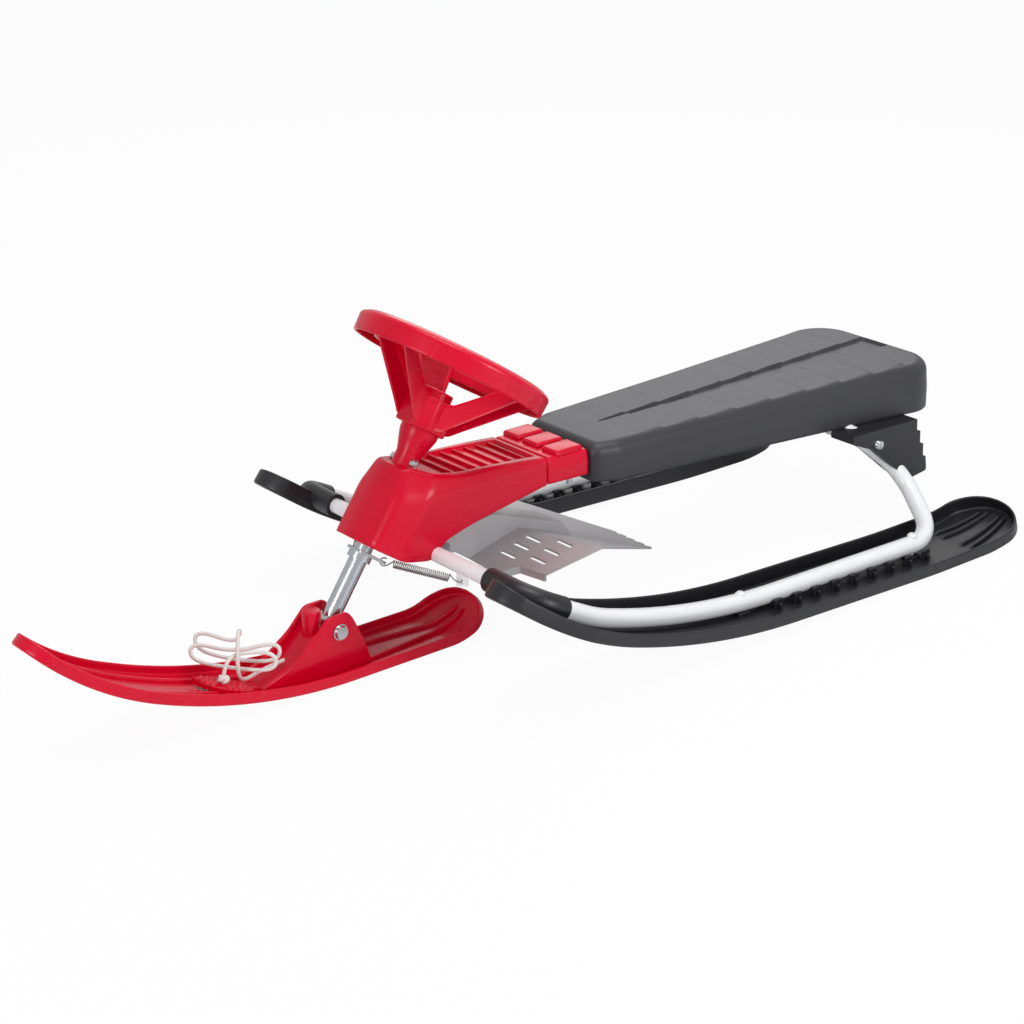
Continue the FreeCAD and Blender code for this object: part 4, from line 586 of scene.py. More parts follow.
def block(
    centre: tuple[float, float, float], size: tuple[float, float, float], radius: float,
    steps: int = 5,
) -> tuple[np.ndarray, np.ndarray]:
    """Box with every edge rounded.

    A ball of the given radius is pulled apart: each of its points moves by the sign of its
    coordinates times half the box size less the radius.

    Args:
        centre: Middle of the box.
        size: Its full length along x, y and z.
        radius: Radius of its edges.
        steps: Points of a quarter turn.

    Returns:
        Points and quads.
    """
    half_turn = np.concatenate([np.linspace(0.0, 0.4999, steps), np.linspace(0.5001, 1.0, steps)])
    polar = half_turn * math.pi
    round_turn = np.concatenate([
        quarter + np.linspace(0.0001, 0.4999, steps) for quarter in (0.0, 0.5, 1.0, 1.5)]) * math.pi
    ball = np.stack([
        np.sin(polar)[:, None] * np.cos(round_turn)[None],
        np.sin(polar)[:, None] * np.sin(round_turn)[None],
        np.repeat(np.cos(polar)[:, None], len(round_turn), axis=1)], axis=-1)
    stretch = np.maximum(np.array(size) / 2.0 - radius, 0.0)
    sign = np.where(ball >= 0.0, 1.0, -1.0)
    sign[:steps, :, 2] = 1.0
    sign[steps:, :, 2] = -1.0
    sign[..., 0] = np.where(np.cos(round_turn) >= 0.0, 1.0, -1.0)[None]
    sign[..., 1] = np.where(np.sin(round_turn) >= 0.0, 1.0, -1.0)[None]
    points = ball * radius + sign * stretch + np.array(centre)
    rows = len(polar)
    flat = np.concatenate([
        np.repeat(points[:1].mean(axis=1, keepdims=True), points.shape[1], axis=1), points,
        np.repeat(points[-1:].mean(axis=1, keepdims=True), points.shape[1], axis=1)])
    return flat.reshape(-1, 3), grid_faces(rows + 2, points.shape[1], True)


def plate(
    outline: np.ndarray, low: float, high: float, edge: float, steps: int = 4,
) -> tuple[np.ndarray, np.ndarray]:
    """Flat plate of an outline with rounded edges, lying in x and y.

    Rows go from the middle of the low face out to its edge, round the edge as a quarter
    circle of insets and heights, up the side, round again and back to the middle.

    Args:
        outline: Closed outline, star-shaped about its middle.
        low: Height of the low face.
        high: Height of the high face.
        edge: Radius of its edges.
        steps: Rows of one rounded edge.

    Returns:
        Points and quads.
    """
    normal = inward(outline)
    angle = np.linspace(0.0, math.pi / 2.0, steps)
    inset = np.concatenate([edge * (1.0 - np.sin(angle)), edge * (1.0 - np.cos(angle))])
    height = np.concatenate([low + edge * (1.0 - np.cos(angle)), high - edge * (1.0 - np.sin(angle))])
    spots = outline[None] + normal[None] * inset[:, None, None]
    rows = np.concatenate([spots, np.repeat(height[:, None, None], len(outline), axis=1)], axis=2)
    middle = outline.mean(axis=0)
    first = np.broadcast_to(np.array([middle[0], middle[1], low]), (1, len(outline), 3))
    last = np.broadcast_to(np.array([middle[0], middle[1], high]), (1, len(outline), 3))
    points = np.concatenate([first, rows, last])
    return points.reshape(-1, 3), grid_faces(len(points), len(outline), True)


def joined(parts: list[tuple[np.ndarray, np.ndarray]]) -> tuple[np.ndarray, np.ndarray]:
    """Several surfaces as one list of points and one of quads."""
    shift = np.cumsum([0] + [len(points) for points, _ in parts[:-1]])
    return (
        np.concatenate([points for points, _ in parts]),
        np.concatenate([faces + step for (_, faces), step in zip(parts, shift)]),
    )


def placed(surface: tuple[np.ndarray, np.ndarray], axes: np.ndarray, base: np.ndarray) -> tuple:
    """A surface turned onto three axes and moved to a base point."""
    points, faces = surface
    return points @ axes + base, faces


def mirrored(surface: tuple[np.ndarray, np.ndarray], side: Side) -> tuple[np.ndarray, np.ndarray]:
    """A surface of the left half, or its mirror image on the right."""
    points, faces = surface
    return points * np.array([1.0, side.value, 1.0]), faces


def new_object(name: str, data: bpy.types.ID) -> bpy.types.Object:
    """Puts a new object with the given data into the scene."""
    added = bpy.data.objects.new(name, data)
    bpy.context.scene.collection.objects.link(added)
    return added


def facing(right: np.ndarray, up: np.ndarray, back: np.ndarray, place: tuple) -> Matrix:
    """Placement matrix from three axes and a place."""
    return Matrix(np.vstack([np.column_stack([right, up, back, place]), [0, 0, 0, 1]]).tolist())


def make_piece(
    name: str,
    surface: tuple[np.ndarray, np.ndarray],
    finish: Finish,
    body: str | None,
    nodes: tuple[str, ...] = (),
    crease: float = 40.0,
) -> bpy.types.Object:
    """Turns points and quads in millimetres into a finished piece of the sled.

    Args:
        name: Name of the piece.
        surface: Points and quads.
        finish: Its finish.
        body: The body that it moves with, or None for a piece that spans two and stays unattached.
        nodes: Nodes of the frame that it stands for.
        crease: Angle in degrees from which an edge stays sharp.

    Returns:
        The new object.
    """
    points, faces = surface
    mesh = bpy.data.meshes.new(name)
    mesh.from_pydata((points * MM).tolist(), [], faces.tolist())
    shell = bmesh.new()
    shell.from_mesh(mesh)
    bmesh.ops.remove_doubles(shell, verts=shell.verts, dist=2e-6)
    bmesh.ops.dissolve_degenerate(shell, edges=shell.edges, dist=1e-7)
    bmesh.ops.recalc_face_normals(shell, faces=shell.faces)
    shell.to_mesh(mesh)
    shell.free()
    mesh.shade_smooth()
    mesh.set_sharp_from_angle(angle=math.radians(crease))
    piece = new_object(name, mesh)
    SHOP.coat(piece, finish)
    dress(piece, body, nodes)
    return piece


def dress(
    piece: bpy.types.Object, body: str | None, nodes: tuple[str, ...],
) -> None:
    """Hides the nodes that a new piece replaces, attaches it to its body and logs it.

    Args:
        piece: The new object.
        body: The body that it moves with, or None for a piece that spans two and stays unattached.
        nodes: Nodes that it stands for.
    """
    if nodes:
        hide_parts(*nodes)
    if body:
        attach(piece, body)
    LOG.info("%s: %d faces on %s", piece.name, len(piece.data.polygons), body)


def eased_copy(node: str, name: str, finish: Finish, body: str, width: float) -> bpy.types.Object:
    """A copy of a node whose outer edges are eased, as a mould or a press leaves them.

    Args:
        node: The node copied.
        name: Name of the piece.
        finish: Its finish.
        body: The body that it moves with.
        width: Width of the eased edge in millimetres.

    Returns:
        The new object.
    """
    mesh = bpy.data.meshes.new(name)
    shell = bmesh.new()
    shell.from_mesh(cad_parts[node].data)
    bmesh.ops.remove_doubles(shell, verts=shell.verts, dist=3e-6)
    bmesh.ops.dissolve_limit(shell, angle_limit=math.radians(0.6), verts=shell.verts,
                             edges=shell.edges)
    shell.to_mesh(mesh)
    shell.free()
    if "custom_normal" in mesh.attributes:
        mesh.attributes.remove(mesh.attributes["custom_normal"])
    mesh.shade_smooth()
    mesh.set_sharp_from_angle(angle=math.radians(27.0))
    piece = new_object(name, mesh)
    bevel = piece.modifiers.new("eased edges", "BEVEL")
    bevel.width = width * MM
    bevel.segments = 2
    bevel.limit_method = "ANGLE"
    bevel.angle_limit = math.radians(27.0)
    bevel.harden_normals = True
    even = piece.modifiers.new("even shading", "WEIGHTED_NORMAL")
    even.keep_sharp = True
    SHOP.coat(piece, finish)
    dress(piece, body, (node,))
    return piece


# Camera and surroundings


@dataclass
class Studio:
    """Camera at the photograph's angle, a white room and soft lamps."""

    eye: tuple[float, float, float] = (1.4531, 1.6973, 1.0074)
    azimuth: float = 49.435
    elevation: float = 21.944
    roll: float = 0.39
    lens: float = 80.27
    fill: float = 0.42
    mirror: float = 0.62
    glow: float = 0.95
    lamps: list[tuple] = field(default_factory=lambda: [
        ("overhead", (-0.1, 0.2, 1.9), (-0.05, 0.0, 0.15), 1.1, 15.0),
        ("near", (-0.35, 2.1, 0.85), (-0.05, 0.1, 0.12), 0.8, 17.0),
        ("front", (2.1, 0.35, 0.8), (0.2, 0.0, 0.1), 0.7, 11.0),
        ("behind", (-1.6, -1.4, 1.2), (-0.2, 0.0, 0.15), 1.1, 7.0),
    ])

    def camera(self) -> None:
        """Sets the camera: its back points along azimuth and elevation, then it rolls."""
        turn, lift, roll = (math.radians(v) for v in (self.azimuth, self.elevation, self.roll))
        back = np.array([math.cos(turn) * math.cos(lift), math.sin(turn) * math.cos(lift),
                         math.sin(lift)])
        right = np.array([-math.sin(turn), math.cos(turn), 0.0])
        up = np.cross(back, right)
        rolled_right = math.cos(roll) * right + math.sin(roll) * up
        rolled_up = -math.sin(roll) * right + math.cos(roll) * up
        data = bpy.data.cameras.new("camera")
        data.lens = self.lens
        data.sensor_width = 36.0
        data.sensor_fit = "HORIZONTAL"
        data.clip_end = 50.0
        camera = new_object("camera", data)
        camera.matrix_world = facing(rolled_right, rolled_up, back, self.eye)
        bpy.context.scene.camera = camera

    def room(self) -> None:
        """Makes the pale floor and a world that eyes and reflections see as white."""
        world = bpy.data.worlds.new("room")
        world.use_nodes = True
        tree = world.node_tree
        tree.nodes.clear()
        ray = add(tree, "ShaderNodeLightPath")
        seen = add(tree, "ShaderNodeMath", {"operation": "MAXIMUM"},
                   links={0: ray.outputs["Is Camera Ray"], 1: ray.outputs["Is Transmission Ray"]})
        light = add(tree, "ShaderNodeBackground",
                    values={"Color": linear("#E9ECF2"), "Strength": self.fill})
        glossy = add(tree, "ShaderNodeBackground",
                     values={"Color": linear("#FFFFFF"), "Strength": self.mirror})
        white = add(tree, "ShaderNodeBackground",
                    values={"Color": linear("#FFFFFF"), "Strength": 1.0})
        mirror = add(tree, "ShaderNodeMixShader", links={
            0: ray.outputs["Is Glossy Ray"], 1: light.outputs[0], 2: glossy.outputs[0]})
        both = add(tree, "ShaderNodeMixShader", links={
            0: seen.outputs[0], 1: mirror.outputs[0], 2: white.outputs[0]})
        add(tree, "ShaderNodeOutputWorld", links={"Surface": both.outputs[0]})
        bpy.context.scene.world = world
        mesh = bpy.data.meshes.new("floor")
        mesh.from_pydata([(-9, -9, 0), (9, -9, 0), (9, 9, 0), (-9, 9, 0)], [], [(0, 1, 2, 3)])
        floor = new_object("floor", mesh)
        floor.location.z = -0.0006
        material, tree = blank_material("white paper")
        ray = add(tree, "ShaderNodeLightPath")
        paper = add(tree, "ShaderNodeBsdfDiffuse", values={"Color": linear("#F4F4F4")})
        glow = add(tree, "ShaderNodeEmission",
                   values={"Color": linear("#FFFFFF"), "Strength": 1.0})
        share = add(tree, "ShaderNodeMath", {"operation": "MULTIPLY"}, {1: self.glow},
                    {0: ray.outputs["Is Camera Ray"]})
        both = add(tree, "ShaderNodeMixShader", links={
            0: share.outputs[0], 1: paper.outputs[0], 2: glow.outputs[0]})
        add(tree, "ShaderNodeOutputMaterial", links={"Surface": both.outputs[0]})
        mesh.materials.append(material)

    def light(self) -> None:
        """Hangs the soft lamps, each turned towards its spot."""
        for name, place, spot, size, power in self.lamps:
            data = bpy.data.lights.new(name, "AREA")
            data.shape = "SQUARE"
            data.size = size
            data.energy = power
            lamp = new_object(name, data)
            back = unit(np.array(place) - np.array(spot))
            right = unit(np.cross(np.array([0.0, 0.0, 1.0]), back))
            lamp.matrix_world = facing(right, np.cross(back, right), back, place)

    def build(self) -> None:
        """Sets up camera, room and lamps."""
        bpy.context.scene.view_settings.view_transform = "Standard"
        self.camera()
        self.room()
        self.light()


# Pull cord


@dataclass
class PullCord:
    """Tied bundle of white cord on the front ski, its knot and the ribbed handle."""

    radius: float = 2.0
    knot_at: tuple[float, float, float] = (376.0, 13.0, 34.0)
    end_at: tuple[float, float, float] = (299.0, 5.0, 28.0)
    bundle_at: tuple[float, float, float] = (352.0, -4.0, 44.0)
    handle_at: tuple[float, float, float] = (377.0, 13.0, 27.0)
    braid_pitch: float = 7.0

    def route(self) -> np.ndarray:
        """Points of the route: each turn of the bundle as across, up and out of its middle."""
        turns = np.array([
            (-6, -6, 24), (3, 5, 14), (42, 6, 10), (42, -13, 8), (2, -11, 5), (-42, -4, 3),
            (-42, 15, 1), (0, 4, -2), (44, 16, -5), (44, -5, -8), (0, -4, -11), (-40, 6, -14),
            (-40, 26, -16), (0, 12, -18), (5, 26, -12), (6, 26, 20), (6, -18, 18.5),
            (9, -24, -18), (24, -14, -25),
        ], float)
        axes = np.array([(-0.7597, 0.6502, 0.0), (-0.243, -0.284, 0.9275),
                         (0.6032, 0.7047, 0.3737)])
        spots = turns @ axes + np.array(self.bundle_at)
        return np.concatenate([[self.knot_at], spots, [self.end_at]])

    def centre_line(self) -> np.ndarray:
        """Points that Blender gives for the NURBS spline of the route, in millimetres."""
        route = self.route()
        data = bpy.data.curves.new("cord route", "CURVE")
        data.dimensions = "3D"
        data.resolution_u = 16
        spline = data.splines.new("NURBS")
        spline.points.add(len(route) - 1)
        flat = np.concatenate([route * MM, np.ones((len(route), 1))], axis=1)
        spline.points.foreach_set("co", flat.ravel())
        spline.order_u = 3
        spline.use_endpoint_u = True
        guide = bpy.data.objects.new("cord route", data)
        mesh = bpy.data.meshes.new_from_object(guide)
        line = np.empty(len(mesh.vertices) * 3)
        mesh.vertices.foreach_get("co", line)
        bpy.data.objects.remove(guide)
        bpy.data.curves.remove(data)
        bpy.data.meshes.remove(mesh)
        return line.reshape(-1, 3) / MM

    def braid(self, name: str, path: np.ndarray) -> bpy.types.Object:
        """Cord surface with the relief of a braid.

        Two sets of strands wind opposite ways; the surface stands out where the sine of the
        winding angle plus or minus the distance along is high, and sinks between strands.

        Args:
            name: Name of the piece.
            path: Centre line in millimetres.

        Returns:
            The new object, without finish or body.
        """
        walked = arc_length(path)
        steps = np.linspace(0.0, walked[-1], int(walked[-1] / 0.55))
        even = np.stack([np.interp(steps, walked, path[:, axis]) for axis in range(3)], axis=1)
        sides = 16
        angle = np.linspace(0.0, 2.0 * math.pi, sides, endpoint=False)[None]
        along = 2.0 * math.pi * steps[:, None] / self.braid_pitch
        left = np.sin(2.0 * angle + along) ** 2
        right = np.sin(2.0 * angle - along) ** 2
        relief = np.maximum(left, right)
        points, faces = tube(even, self.radius * (0.93 + 0.07 * relief), sides)
        mesh = bpy.data.meshes.new(name)
        mesh.from_pydata((points * MM).tolist(), [], faces.tolist())
        # the relief is kept to paint shade into the hollows between strands
        strand = mesh.attributes.new("strand", "FLOAT", "POINT")
        shade = np.concatenate([np.zeros((1, sides)), relief, np.zeros((1, sides))])
        strand.data.foreach_set("value", shade.ravel().astype(np.float32))
        layer = mesh.uv_layers.new(name="braid")
        rows = np.concatenate([[0.0], steps, [steps[-1]]])
        row = faces // sides
        column = faces % sides
        wrapped = np.where((column == 0) & (column.max(axis=1, keepdims=True) == sides - 1),
                           sides, column)
        places = np.stack([rows[row], wrapped / sides], axis=-1)
        layer.data.foreach_set("uv", places.reshape(-1).astype(np.float32))
        mesh.shade_smooth()
        return new_object(name, mesh)

    def knot(self) -> bpy.types.Object:
        """Overhand knot: the cord wound twice round a small ring while it circles it thrice."""
        turn = np.linspace(0.0, 2.0 * math.pi, 220)
        reach = 3.0 + 1.5 * np.cos(3.0 * turn)
        path = np.stack([reach * np.cos(2.0 * turn), reach * np.sin(2.0 * turn),
                         1.7 * np.sin(3.0 * turn)], axis=1) + np.array(self.knot_at)
        knot = self.braid("handle_knot", path)
        SHOP.coat(knot, YARN)
        dress(knot, "runner", ("cord_knot",))
        return knot

    def handle(self) -> bpy.types.Object:
        """Lens-shaped grip with eight cross bars.

        The lens is where two circles of the same size overlap, and each bar is a rounded box
        as long as the lens is wide there.
        """
        half, side = 31.0, 11.0
        bow = (half * half + side * side) / (2.0 * side)
        x = half * np.cos(np.linspace(0.0, 2.0 * math.pi, 96, endpoint=False))
        y = np.sqrt(np.maximum(bow * bow - x * x, 0.0)) - (bow - side)
        sign = np.where(np.arange(96) <= 48, 1.0, -1.0)
        lens = np.stack([x * 0.99, y * sign], axis=1)
        parts = [plate(lens, -3.0, 3.0, 0.9)]
        for number in (-4, -3, -2, -1, 1, 2, 3, 4):
            spot = number * 5.6
            reach = 9.5 * (1.0 - (spot / half) ** 2)
            parts.append(block((spot, 0.0, 0.0), (2.4, 2.0 * reach, 9.0), 0.7))
        parts.append(plate(rounded_square(6.0, 4.0, 40), -4.0, 4.0, 0.8))
        along = unit(np.array([0.70, -0.66, 0.19]))
        up = unit(np.array([0.0, 0.0, 1.0]) - along * along[2])
        axes = np.stack([along, np.cross(up, along), up])
        return make_piece("pull_handle", placed(joined(parts), axes, np.array(self.handle_at)),
                          RED, "runner", ("cord_handle",))

    def build(self) -> None:
        path = self.centre_line()
        cord = self.braid("tied_pull_cord", path)
        SHOP.coat(cord, YARN)
        knot = self.knot()
        handle = self.handle()
        dress(cord, "runner", ("pull_cord",))


# Springs


@dataclass
class ReturnSprings:
    """Close-coiled springs that centre the steering, and the brake's torsion coil."""

    coil_radius: float = 3.55
    wire: float = 0.7
    turns: float = 28.0
    lead: float = 14.0
    hook: float = 4.0
    ear: tuple[float, float, float] = (-9.6, 20.0, 71.0)
    tab: tuple[float, float, float] = (136.5, 84.0, 94.0)

    def helix(self, start: np.ndarray, axis: np.ndarray, side: np.ndarray, radius: float,
              turns: float, pitch: float) -> np.ndarray:
        """Points of a coil.

        At each angle the point is the start, plus the axis times pitch times the turns made,
        plus the radius times cosine on one side and sine on the other.

        Args:
            start: Start of the coil's axis.
            axis: Direction in which it climbs.
            side: Direction of its first point from the axis.
            radius: Radius of the coil.
            turns: Number of turns.
            pitch: Climb in one turn.

        Returns:
            The points.
        """
        angle = np.linspace(0.0, 2.0 * math.pi * turns, int(20 * turns) + 1)[:, None]
        other = np.cross(axis, side)
        return (start + axis * (pitch * angle / (2.0 * math.pi))
                + radius * (side * np.cos(angle) + other * np.sin(angle)))

    def lead_in(self, start: np.ndarray, ahead: np.ndarray, end: np.ndarray,
                after: np.ndarray) -> np.ndarray:
        """Cubic between two points with given headings, blended by the Hermite weights."""
        t = np.linspace(0.0, 1.0, 14)[1:-1, None]
        reach = np.linalg.norm(end - start)
        return ((2 * t ** 3 - 3 * t ** 2 + 1) * start + (t ** 3 - 2 * t ** 2 + t) * ahead * reach
                + (3 * t ** 2 - 2 * t ** 3) * end + (t ** 3 - t ** 2) * after * reach)

    def hook_arc(self, eye: np.ndarray, axis: np.ndarray, across: np.ndarray) -> np.ndarray:
        """Hook round an eye: most of a circle whose far side passes through the eye."""
        angle = np.linspace(math.radians(-118.0), math.radians(90.0), 26)[:, None]
        return eye + axis * self.hook + self.hook * (-axis * np.cos(angle) - across * np.sin(angle))

    def return_spring(self, side: Side) -> bpy.types.Object:
        """One return spring with its two hooks."""
        ear = np.array(self.ear) @ COLUMN_AXES + COLUMN_BASE
        tab = np.array(self.tab)
        span = np.linalg.norm(tab - ear)
        axis = (tab - ear) / span
        up = COLUMN_AXES[2]
        ear_across = unit(up - axis * (up @ axis))
        tab_across = unit(np.array([axis[1], -axis[0], 0.0]))
        pitch = (span - 2.0 * self.lead) / self.turns
        coil = self.helix(ear + axis * self.lead, axis, ear_across, self.coil_radius,
                          self.turns, pitch)
        first = self.hook_arc(ear, axis, ear_across)
        last = self.hook_arc(tab, -axis, -tab_across)[::-1]
        path = np.concatenate([
            first, self.lead_in(first[-1], axis, coil[0], unit(coil[1] - coil[0])), coil,
            self.lead_in(coil[-1], unit(coil[-1] - coil[-2]), last[0], axis), last])
        surface = tube(path, self.wire, 9)
        name = side.name.lower()
        spring = make_piece(f"{name}_coil_spring", mirrored(surface, side), WIRE, None,
                            (f"{name}_return_spring",))
        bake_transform(spring)
        return spring

    def brake_coil(self) -> bpy.types.Object:
        """Torsion coil round the brake's pin with two straight legs."""
        pivot = np.array([112.0, 0.0, 104.0])
        axis = np.array([0.0, 1.0, 0.0])
        coil = self.helix(pivot - axis * 6.6, axis, np.array([0.0, 0.0, -1.0]), 5.3, 6.0, 2.2)
        first = unit(coil[1] - coil[0])
        last = unit(coil[-1] - coil[-2])
        path = np.concatenate([[coil[0] - first * 8.0, coil[0] - first * 4.0], coil,
                               [coil[-1] + last * 4.0, coil[-1] + last * 8.0]])
        return make_piece("brake_torsion_coil", tube(path, 0.8, 10), WIRE, "frame",
                          ("brake_spring",))

    def build(self) -> None:
        """Makes all three springs."""
        for side in Side:
            self.return_spring(side)
        self.brake_coil()


# Skis


@dataclass
class SkiPan:
    """Moulded ski: a curved base with a rounded wall all round.

    The ski is drawn unrolled, as a width over the distance along its base, and is then bent:
    a point at distance s, height h and offset y stands on the base line at s, raised by h
    along the line's normal.
    """

    start: tuple[float, float, float]
    moves: list[tuple[float, float]]
    half: float
    nose_half: float
    taper_x: float
    tail_cap: float
    nose_cap: float
    rise: float
    base: float = 3.0
    wall: float = 3.0
    tilt: float = 0.0
    ribs: list[tuple[float, float, float, float]] = field(default_factory=list)

    def line(self) -> tuple[np.ndarray, np.ndarray, np.ndarray, np.ndarray]:
        """Base line at quarter-millimetre steps.

        The heading is the running sum of the curvature, and x and z are the running sums of
        its cosine and sine.

        Returns:
            Distance, x, z and heading.
        """
        lengths = np.array([length for length, _ in self.moves])
        turns = np.radians([turn for _, turn in self.moves])
        ends = np.concatenate([[0.0], np.cumsum(lengths)])
        headings = np.concatenate([[0.0], np.cumsum(turns)]) + math.radians(self.start[2])
        s = np.linspace(0.0, ends[-1], int(ends[-1] * 4))
        heading = np.interp(s, ends, headings)
        step = s[1] - s[0]
        middle = (heading[1:] + heading[:-1]) / 2.0
        x = self.start[0] + np.concatenate([[0.0], np.cumsum(np.cos(middle) * step)])
        z = self.start[1] + np.concatenate([[0.0], np.cumsum(np.sin(middle) * step)])
        return s, x, z, heading

    def bent(self, s: np.ndarray, y: np.ndarray, height: np.ndarray) -> np.ndarray:
        """Places unrolled points on the bent base line."""
        at, x, z, heading = self.line()
        turn = np.interp(s, at, heading)
        return np.stack([
            np.interp(s, at, x) - height * np.sin(turn), y,
            np.interp(s, at, z) + height * np.cos(turn)], axis=-1)

    def at_x(self, x: float) -> float:
        """Distance along the base at which it stands over x."""
        at, line_x, _, _ = self.line()
        return float(np.interp(x, line_x, at))

    def width(self, s: np.ndarray, total: float) -> np.ndarray:
        """Half width: straight, then easing to the nose, with a round cap at both ends.

        A cap is a quarter of an ellipse: the root of one minus the square of the share of the
        cap that is left.
        """
        taper = self.at_x(self.taper_x)
        share = np.clip((s - taper) / (total - taper), 0.0, 1.0)
        plain = self.half - (self.half - self.nose_half) * (0.35 * share + 0.65 * share ** 1.8)
        tail = np.clip(1.0 - s / self.tail_cap, 0.0, 1.0)
        nose = np.clip(1.0 - (total - s) / self.nose_cap, 0.0, 1.0)
        return plain * np.sqrt(1.0 - tail ** 2) * np.sqrt(1.0 - nose ** 2)

    def surface(self, stations: int = 300, across: int = 19) -> tuple[np.ndarray, np.ndarray]:
        """The whole moulding as one closed grid.

        Columns go round the outline; rows go from the middle of the underside out, round the
        lower edge, up the wall, over its round lip, down inside, round a fillet and back to
        the middle of the floor. The wall's height falls across the ski by the tilt.
        """
        at, _, _, _ = self.line()
        total = at[-1]
        swing = np.linspace(0.0, math.pi, stations)
        s = total * (1.0 - np.cos(swing)) / 2.0
        s = 0.55 * s + 0.45 * np.linspace(0.0, total, stations)
        half = self.width(s, total)
        outline = np.concatenate([
            np.stack([s, half], axis=1), np.stack([s[::-1], -half[::-1]], axis=1)[1:-1]])
        normal = inward(outline)
        edge, lip = 2.6, self.wall / 2.0
        quarter = np.linspace(0.0, math.pi / 2.0, 5)
        turn = np.linspace(0.0, math.pi, 9)
        top = self.rise - self.tilt * outline[None, :, 1] / self.half
        fillet = 2.2
        inset = np.concatenate([
            edge * (1.0 - np.sin(quarter)), [0.0, 0.0], lip * (1.0 - np.cos(turn)),
            [self.wall], self.wall + fillet * (1.0 - np.cos(quarter))])
        level = np.ones_like(top)
        height = np.concatenate([
            level * edge * (1.0 - np.cos(quarter))[:, None], top * 0.45, top * 0.75,
            top - lip + lip * np.sin(turn)[:, None], level * (self.base + fillet + 1.0),
            level * (self.base + fillet * (1.0 - np.sin(quarter)))[:, None]])
        rims = outline[None] + normal[None] * inset[:, None, None]
        spine = np.stack([np.clip(outline[:, 0], self.half * 0.8, total - self.nose_cap * 0.9),
                          np.zeros(len(outline))], axis=1)
        share = np.linspace(0.0, 1.0, across)[:, None, None]
        under = spine + (rims[0] - spine) * share[::3]
        floor = rims[-1] + (spine - rims[-1]) * share
        rows = np.concatenate([under[:-1], rims, floor[1:]])
        heights = np.concatenate([
            np.zeros((len(under) - 1, len(outline))), height,
            np.full((len(floor) - 1, len(outline)), self.base)])
        points = self.bent(rows[..., 0], rows[..., 1], heights)
        return points.reshape(-1, 3), grid_faces(len(rows), len(outline), True)

    def ridges(self, width: float = 4.2, high: float = 4.4) -> list[tuple[np.ndarray, np.ndarray]]:
        """Long ribs on the floor, in mirrored pairs.

        An arch section follows a straight line of the unrolled ski: its offset goes from the
        first to the last value, and its height eases to nothing over 12 mm at both ends.
        """
        turn = np.linspace(0.0, 2.0 * math.pi, 16, endpoint=False)
        across = np.sign(np.cos(turn)) * np.abs(np.cos(turn)) ** 0.8 * width / 2.0
        parts = []
        for low_x, high_x, first, last in self.ribs:
            low, end = self.at_x(low_x), self.at_x(high_x)
            s = np.linspace(low, end, 90)[:, None]
            crest = (high * hump(s, low, end, 12.0) - 0.4) * np.maximum(np.sin(turn), 0.0) ** 0.7
            rise = self.base - 0.8 + (crest + 0.8) * (np.sin(turn) > 0.0)
            centre = first + (last - first) * (s - low) / (end - low)
            for side in (-1.0, 1.0):
                points = self.bent(s + 0.0 * across, side * (centre + across), rise)
                parts.append((points.reshape(-1, 3), grid_faces(len(s), len(turn), True)))
        return parts

    def upright(self, x: float, y: float, size: tuple[float, float, float], top: float,
                radius: float) -> tuple[np.ndarray, np.ndarray]:
        """A rounded block that stands on the floor at x, bent with the ski."""
        points, faces = block((self.at_x(x), y, top / 2.0 + 0.8), (size[0], size[1], top), radius)
        return self.bent(points[:, 0], points[:, 1], points[:, 2]), faces


@dataclass
class FrontSki:
    """Red front ski with the tower that its pivot bolt crosses."""

    pan: SkiPan = field(default_factory=lambda: SkiPan(
        (54.0, 28.2, -49.7),
        [(69.4, 49.7), (120.0, 0.0), (252.4, 24.1), (129.6, 22.5)],
        42.0, 25.0, 470.0, 40.0, 22.0, 12.3,
        ribs=[(330.0, 560.0, 15.5, 24.0), (66.0, 222.0, 5.0, 19.5)],
    ))

    def tower(self) -> list[tuple[np.ndarray, np.ndarray]]:
        """Two hollow-backed cheeks, the ramp between them and the round post by the shaft."""
        cheek = rounded_loop([
            (203, 2, 2), (212, 30, 20), (226, 58, 12), (232, 66, 8), (256, 66, 12),
            (276, 45, 60), (306, 24, 60), (352, 9, 4), (300, 1, 2)], 180)
        parts = []
        axes = np.array([(1.0, 0.0, 0.0), (0.0, 0.0, 1.0), (0.0, 1.0, 0.0)])
        for low in (17.6, -22.0):
            parts.append(placed(plate(cheek, low, low + 4.4, 1.2), axes, np.zeros(3)))
        ramp = rounded_loop([
            (256, 2, 1), (256, 50, 3), (266, 46, 6), (290, 26, 50), (346, 5, 3), (300, 1, 2)], 120)
        parts.append(placed(plate(ramp, -18.0, 18.0, 0.8), axes, np.zeros(3)))
        post = plate(rounded_square(9.5, 9.4, 60), 20.0, 69.5, 1.4)
        parts.append(placed(post, FLAT_AXES, np.array([261.5, 0.0, 0.0])))
        return parts

    def build(self) -> None:
        """Makes the red moulding."""
        parts = [self.pan.surface()] + self.pan.ridges() + self.tower()
        make_piece("front_ski_moulding", joined(parts), RED, "runner", ("front_ski",))


